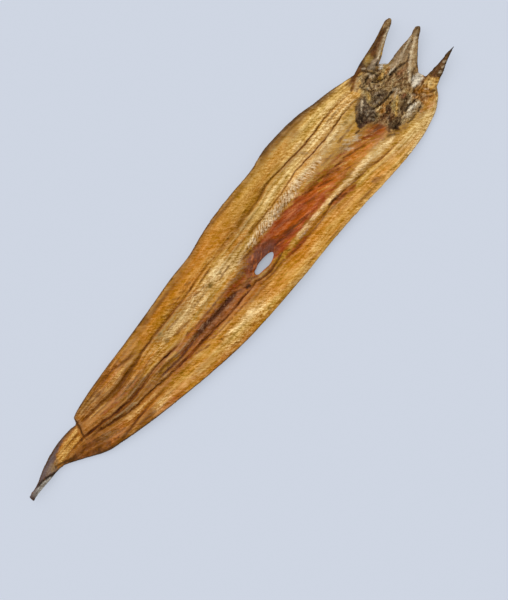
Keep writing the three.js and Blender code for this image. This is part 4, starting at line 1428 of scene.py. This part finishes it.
# %% Golden ground
GROUND_TONES = [
    (0.30, srgb(136, 82, 30)),
    (0.43, srgb(178, 115, 43)),
    (0.55, srgb(197, 138, 52)),
    (0.70, srgb(218, 173, 95)),
]
AMBER = srgb(200, 120, 32)
OLIVE_GOLD = srgb(174, 136, 60)
PALE_GOLD = srgb(212, 170, 96)
BROWN = srgb(144, 84, 32)


def ramp(value, tones):
    """Turns a value into a colour by stops along the way from 0 to 1."""
    made = node("ValToRGB", Fac=value)
    stops = made.color_ramp.elements
    while len(stops) < len(tones):
        stops.new(1.0)
    for stop, (place_of_stop, tone) in zip(stops, tones):
        stop.position = place_of_stop
        stop.color = tone
    return made.outputs["Color"]


to_middle = sums("SUBTRACT", 0.5, mottle)
evened = sums("ADD", mottle, times(to_middle, upper_flank, 0.45))
colour = ramp(evened, GROUND_TONES)
colour = glaze(colour, AMBER, times(fade(bands, 0.5, 0.66), 0.5))
colour = glaze(colour, OLIVE_GOLD, times(fade(bands, 0.5, 0.36), 0.4))
colour = glaze(colour, PALE_GOLD, times(fade(along_body, 330, 470), 0.35))
colour = glaze(colour, BROWN, times(fade(along_body, 215, 95), fade(mottle, 0.26, 0.58), 0.7))
count("golden ground")

# %% Stains, broken up by the streaks
broken = blend((fade(grain, 0.3, 0.7), 0.6), (fade(fibres, 0.3, 0.7), 0.35), (fade(grit, 0.3, 0.7), 0.45))
stain_cover = field("stain", "Alpha")
partly = times(stain_cover, rest_of(stain_cover), 4.0)
stain_share = sums("ADD", stain_cover, times(sums("SUBTRACT", broken, 0.7), partly))
colour = glaze(colour, field("stain", "Color"), node("Clamp", Value=stain_share).outputs[0])
count("stains")

# %% [markdown]
# ## Lining, ribs and cord
#
# The lining of the belly shrank into fine streaks, dark and glowing, that fan out at the vent and then
# run with the body. The rib ends are pale strokes, and the cut muscle below looks like twisted cord. To
# paint each stroke would take long; noise that is stretched and turned as they lie does it at once.

# %% Streaks of the belly lining
LINING_DARK = srgb(106, 46, 18)
LINING_GLOW = srgb(202, 106, 34)

fan_streaks = streaks(10, 1.8, slant=36, seed=16, detail=3, over=place)
lining_streaks = streaks(15, 2.0, slant=-15, seed=17, detail=3, over=place)
turning = fade(along_body, 338, 362)
lining = blend((fan_streaks, rest_of(turning)), (lining_streaks, turning))
in_lining = field("in_cavity")
colour = glaze(colour, LINING_DARK, times(in_lining, fade(lining, 0.49, 0.36), 0.48))
colour = glaze(colour, LINING_GLOW, times(in_lining, fade(lining, 0.53, 0.66), 0.45))
count("lining")

# %% Rib marks and the twisted cord
RIB_PALE = srgb(238, 208, 166)
RIB_DARK = srgb(140, 96, 56)
CORD_PALE = srgb(222, 184, 130)
CORD_DARK = srgb(150, 96, 50)

fanned = fade(along_body, 400, 414)
leaning = streaks(6, 1.25, slant=RIB_SLANT, seed=6, over=place)
combed = streaks(6, 1.25, slant=COMB_SLANT, seed=19, over=place)
rib_streaks = blend((leaning, rest_of(fanned)), (combed, fanned))
cord_streaks = streaks(7, 1.4, slant=CORD_SLANT, seed=7, detail=3, over=place)
rib_share = field("rib_row")
colour = glaze(colour, RIB_PALE, times(rib_share, fade(rib_streaks, 0.43, 0.59), 0.7))
colour = glaze(colour, RIB_DARK, times(rib_share, fade(rib_streaks, 0.46, 0.34), 0.42))
cord_share = field("cord_row")
colour = glaze(colour, CORD_PALE, times(cord_share, fade(cord_streaks, 0.42, 0.58), 0.6))
colour = glaze(colour, CORD_DARK, times(cord_share, fade(cord_streaks, 0.46, 0.36), 0.42))
count("ribs and cord")

# %% [markdown]
# ## Dark of the creases and rims
#
# A crease is darkest at its bottom, partly from juice that gathered and dried there and partly as
# painted shade, and a brown halo of painted shade lies around it.
# The stored distances give both as sharp as they have to be, and the grain makes their edges ragged, so
# they do not look ruled. Fine seams run between them, and the dark skin shows along the rims.

# %% Creases and seams
CREASE_DARK = srgb(80, 36, 8)
CREASE_HALO_SHADE = srgb(148, 84, 26)
KIDNEY_DARK = srgb(72, 36, 27)

ragged = blend((swing(grain), 1.6), (swing(grit), 1.2))
for name in CREASES:
    gap = sums("ABSOLUTE", sums("ADD", field(name + "_gap"), ragged))
    press = field(name + "_press")
    dark = KIDNEY_DARK if name == "kidney" else CREASE_DARK
    # A halo of painted shade around each crease, and at its bottom a dark that is partly dried juice and
    # partly painted shade.
    colour = glaze(colour, CREASE_HALO_SHADE, times(fade(gap, 3.4, 0.5), press, 0.55))
    colour = glaze(colour, dark, times(fade(gap, 1.4, 0.2), press, 0.78))

seams = sums("ABSOLUTE", swing(streaks(64, 3.4, seed=22)))
seam_share = sums("ADD", 0.12, times(fade(along_body, 270, 130), 0.3))
no_seams = node("Clamp", Value=blend((in_lining, 1.0), (upper_flank, 0.8))).outputs[0]
colour = glaze(colour, CREASE_DARK, times(fade(seams, 0.03, 0.004), seam_share, rest_of(no_seams)))
count("creases and seams")

# %% Dark line along the rims
RIM_DARK = srgb(84, 60, 36)
RIM_BROWN = srgb(140, 92, 36)

head_rim = times(fade(along_body, 396, 418), fade(along_body, 522, 492))
left_gap = sums("ADD", field("left_rim"), times(swing(blotches), 3.0))
colour = glaze(colour, RIM_BROWN, times(fade(left_gap, 8.5, 3.5), head_rim, 0.75))
colour = glaze(colour, RIM_DARK, times(fade(left_gap, 5.0, 1.6), head_rim, 0.8))
flank_rim = times(fade(along_body, 150, 180), fade(along_body, 420, 380))
colour = glaze(colour, RIM_BROWN, times(fade(left_gap, 8.0, 2.5), flank_rim, 0.5))
right_line = times(fade(field("right_rim"), 1.7, 0.3), fade(along_body, 330, 230))
rim_line = sums("MAXIMUM", fade(left_gap, 2.0, 0.4), right_line)
colour = glaze(colour, RIM_DARK, times(rim_line, fade(along_body, 545, 530), fade(along_body, 10, 45), 0.75))
count("rims")

# %% [markdown]
# ## Light and dark
#
# Seen close by, the flesh is full of small light and dark places: fibres, grains and flecks in the torn
# throat, and crests and pockets of the relief, which get a painted highlight and painted shade. Glazing
# each with black or white would grey the colours. So all of them are added up to one number for each
# place, which makes the mixed colour lighter or darker in one go.

# %% Flecks and tears
FLECK_PALE = srgb(176, 142, 96)
FLECK_DARK = srgb(46, 28, 14)
TEAR_DARK = srgb(40, 24, 12)
KIDNEY_PALE = srgb(158, 122, 92)

torn = field("in_throat")
flecks = streaks(3.4, 1.8, slant=36, seed=18, detail=4, roughness=0.7, over=place)
colour = glaze(colour, FLECK_PALE, times(torn, fade(flecks, 0.55, 0.68), 0.45))
colour = glaze(colour, FLECK_DARK, times(torn, fade(flecks, 0.47, 0.36), 0.65))
tears = sums("ABSOLUTE", swing(streaks(11, 3.0, slant=18, seed=21, over=place)))
colour = glaze(colour, TEAR_DARK, times(torn, fade(tears, 0.035, 0.006), 0.6))
kidney_middle = times(fade(sums("ABSOLUTE", field("kidney_gap")), 2.4, 1.0), field("kidney_press"))
colour = glaze(colour, KIDNEY_PALE, times(kidney_middle, fade(flecks, 0.52, 0.66), 0.6))
count("flecks and tears")

# %% Light and dark streaks over everything
LIGHTNESS = 1.12
TORN_SHADE = 0.14
TORN_MIDDLE = 0.62
YELLOWING = 0.028
GREYING = -0.25

calm_lining = times(in_lining, fade(along_body, 465, 415))
calm_tail = fade(along_body, 190, 130)
calm = rest_of(blend((calm_lining, 0.7), (upper_flank, 0.35), (calm_tail, 0.35)))
restless = sums("ADD", 0.3, times(fade(unrest, 0.36, 0.62), 0.38))
grain_swing = times(calm, swing(fade(grain, 0.36, 0.64)), restless)
# Crests of the relief are painted lighter and its pockets darker: painted highlight and painted shade.
relief_highlight_and_shade = swing(fade(field("height"), -0.6, 0.6))
crumple = streaks(5, 3, slant=42, seed=10, detail=5, roughness=0.7, over=place)
specks = streaks(1.7, 0.9, slant=34, seed=20, over=place)
torn_parts = blend((fade(crumple, 0.34, 0.66), 0.6), (fade(specks, 0.34, 0.66), 0.64))
torn_swing = times(sums("SUBTRACT", torn_parts, TORN_MIDDLE), torn)
fibre_strength = sums("SUBTRACT", 0.22, times(upper_flank, 0.12))
fibre_swing = times(swing(fade(fibres, 0.3, 0.7)), fibre_strength)
grit_swing = swing(fade(grit, 0.3, 0.7))
blotch_swing = swing(fade(blotches, 0.32, 0.68))
lightness = blend((grain_swing, 1.0), (fibre_swing, 1.0), (grit_swing, 0.24), (relief_highlight_and_shade, 0.4),
                  (torn_swing, 0.75), (blotch_swing, 0.21))
richness = blend((1.0, 1.0), (lightness, GREYING))
yellower = sums("ADD", 0.5, times(sums("MAXIMUM", lightness, 0.0), YELLOWING))
brightness = sums("SUBTRACT", sums("ADD", LIGHTNESS, lightness), times(torn, TORN_SHADE))
tuned = node("HueSaturation", Color=colour, Hue=yellower, Value=brightness, Saturation=richness, Fac=1.0)
colour = tuned.outputs[0]
count("light and dark")

# %% [markdown]
# ## Finish of the skin side
#
# The skin is pale along its middle and dark towards the rims, with herringbone wrinkles and a groove. A
# row of tones over the distance from the middle gives the change. The wrinkles are streaks in a space
# that is folded along the middle, so that they meet there at an angle from both sides, as on the fish.
# Their grooves and the groove along the middle are darkened with painted shade, and their crests get a
# painted highlight.

# %% Skin side
SKIN_TONES = [
    (0.14, srgb(212, 202, 184)),
    (0.34, srgb(184, 154, 118)),
    (0.50, srgb(132, 80, 50)),
    (0.72, srgb(86, 54, 46)),
    (0.95, srgb(40, 28, 30)),
]
WRINKLE_SHADE = srgb(50, 31, 25)
WRINKLE_HIGHLIGHT = srgb(214, 188, 158)
TAIL_SKIN = srgb(96, 78, 76)
JAW_SKIN = srgb(76, 50, 35)

herring = blend((along_body, 1.0), (sums("ABSOLUTE", weave_parts["Y"]), 0.9), (unrest, 12.0))
herring_place = node("CombineXYZ", X=herring, Y=weave_parts["Y"]).outputs[0]
skin_wrinkles = streaks(7, 1.4, slant=90, seed=23, detail=3, over=herring_place)
patchy = blend((swing(mottle), 0.6), (swing(blotches), 0.4))
from_middle = sums("ADD", sums("ABSOLUTE", field("across")), patchy)
skin = ramp(from_middle, SKIN_TONES)
skin = glaze(skin, TAIL_SKIN, times(fade(along_body, 170, 60), 0.7))
skin = glaze(skin, JAW_SKIN, fade(along_body, 548, 574))
flank = fade(from_middle, 0.1, 0.6)
dark_share = sums("ADD", 0.3, times(flank, 0.3))
pale_share = sums("SUBTRACT", 0.3, times(flank, 0.16))
# Painted shade in the grooves of the wrinkles, and a painted highlight on their crests.
skin = glaze(skin, WRINKLE_SHADE, times(fade(skin_wrinkles, 0.49, 0.36), dark_share))
skin = glaze(skin, WRINKLE_HIGHLIGHT, times(fade(skin_wrinkles, 0.54, 0.7), pale_share))
middle_gap = sums("ABSOLUTE", sums("ADD", field("middle_gap"), ragged))
skin_groove = times(fade(middle_gap, 1.6, 0.4), fade(along_body, 335, 312), fade(along_body, 30, 90))
# Painted shade along the groove in the middle.
skin = glaze(skin, WRINKLE_SHADE, times(skin_groove, 0.7))
on_flesh = fade(field("flesh_side"), 0.25, 0.6)
colour = glaze(skin, colour, on_flesh)
count("skin side")

# %% [markdown]
# ## Surface
#
# What is finer than the mesh is left to a bump: grain and fibres on the flesh, wrinkles on the skin. Real
# mesh for it would be many times too heavy. The fish is dry with a trace of oil, so it is rough, a
# little more in some places than in others, and hardly shines.

# %% Bump, roughness and the shader
BUMP_DEPTH = 1.1
BUMP_STRENGTH = 0.8
ROUGHNESS = 0.42
ROUGHNESS_SWING = 0.3
SHINE = 0.1

flesh_bumps = blend((grain, 0.5), (fibres, 0.35), (grit, 0.3))
on_skin = rest_of(on_flesh)
bumps = blend((flesh_bumps, on_flesh), (skin_wrinkles, times(on_skin, 1.2)),
              (skin_groove, times(on_skin, -1.0)))
bump = node("Bump", Height=bumps, Distance=BUMP_DEPTH * MM, Strength=BUMP_STRENGTH)
roughness = sums("ADD", ROUGHNESS, times(mottle, ROUGHNESS_SWING))
shader = node("BsdfPrincipled", Base_Color=colour, Roughness=roughness, Normal=bump.outputs["Normal"])
shader.inputs["Specular IOR Level"].default_value = SHINE
node("OutputMaterial", Surface=shader.outputs["BSDF"])
eel.data.materials.append(flesh)
count("dried flesh")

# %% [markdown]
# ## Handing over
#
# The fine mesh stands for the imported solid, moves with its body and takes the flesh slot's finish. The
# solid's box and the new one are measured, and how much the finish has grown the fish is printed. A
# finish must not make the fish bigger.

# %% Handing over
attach(eel, "root")
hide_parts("eel")

new_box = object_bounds()
old_sides = cad_box[1] - cad_box[0]
new_sides = new_box[1] - new_box[0]
print("grown by", [round((new - old) / MM, 2) for new, old in zip(new_sides, old_sides)], "mm")
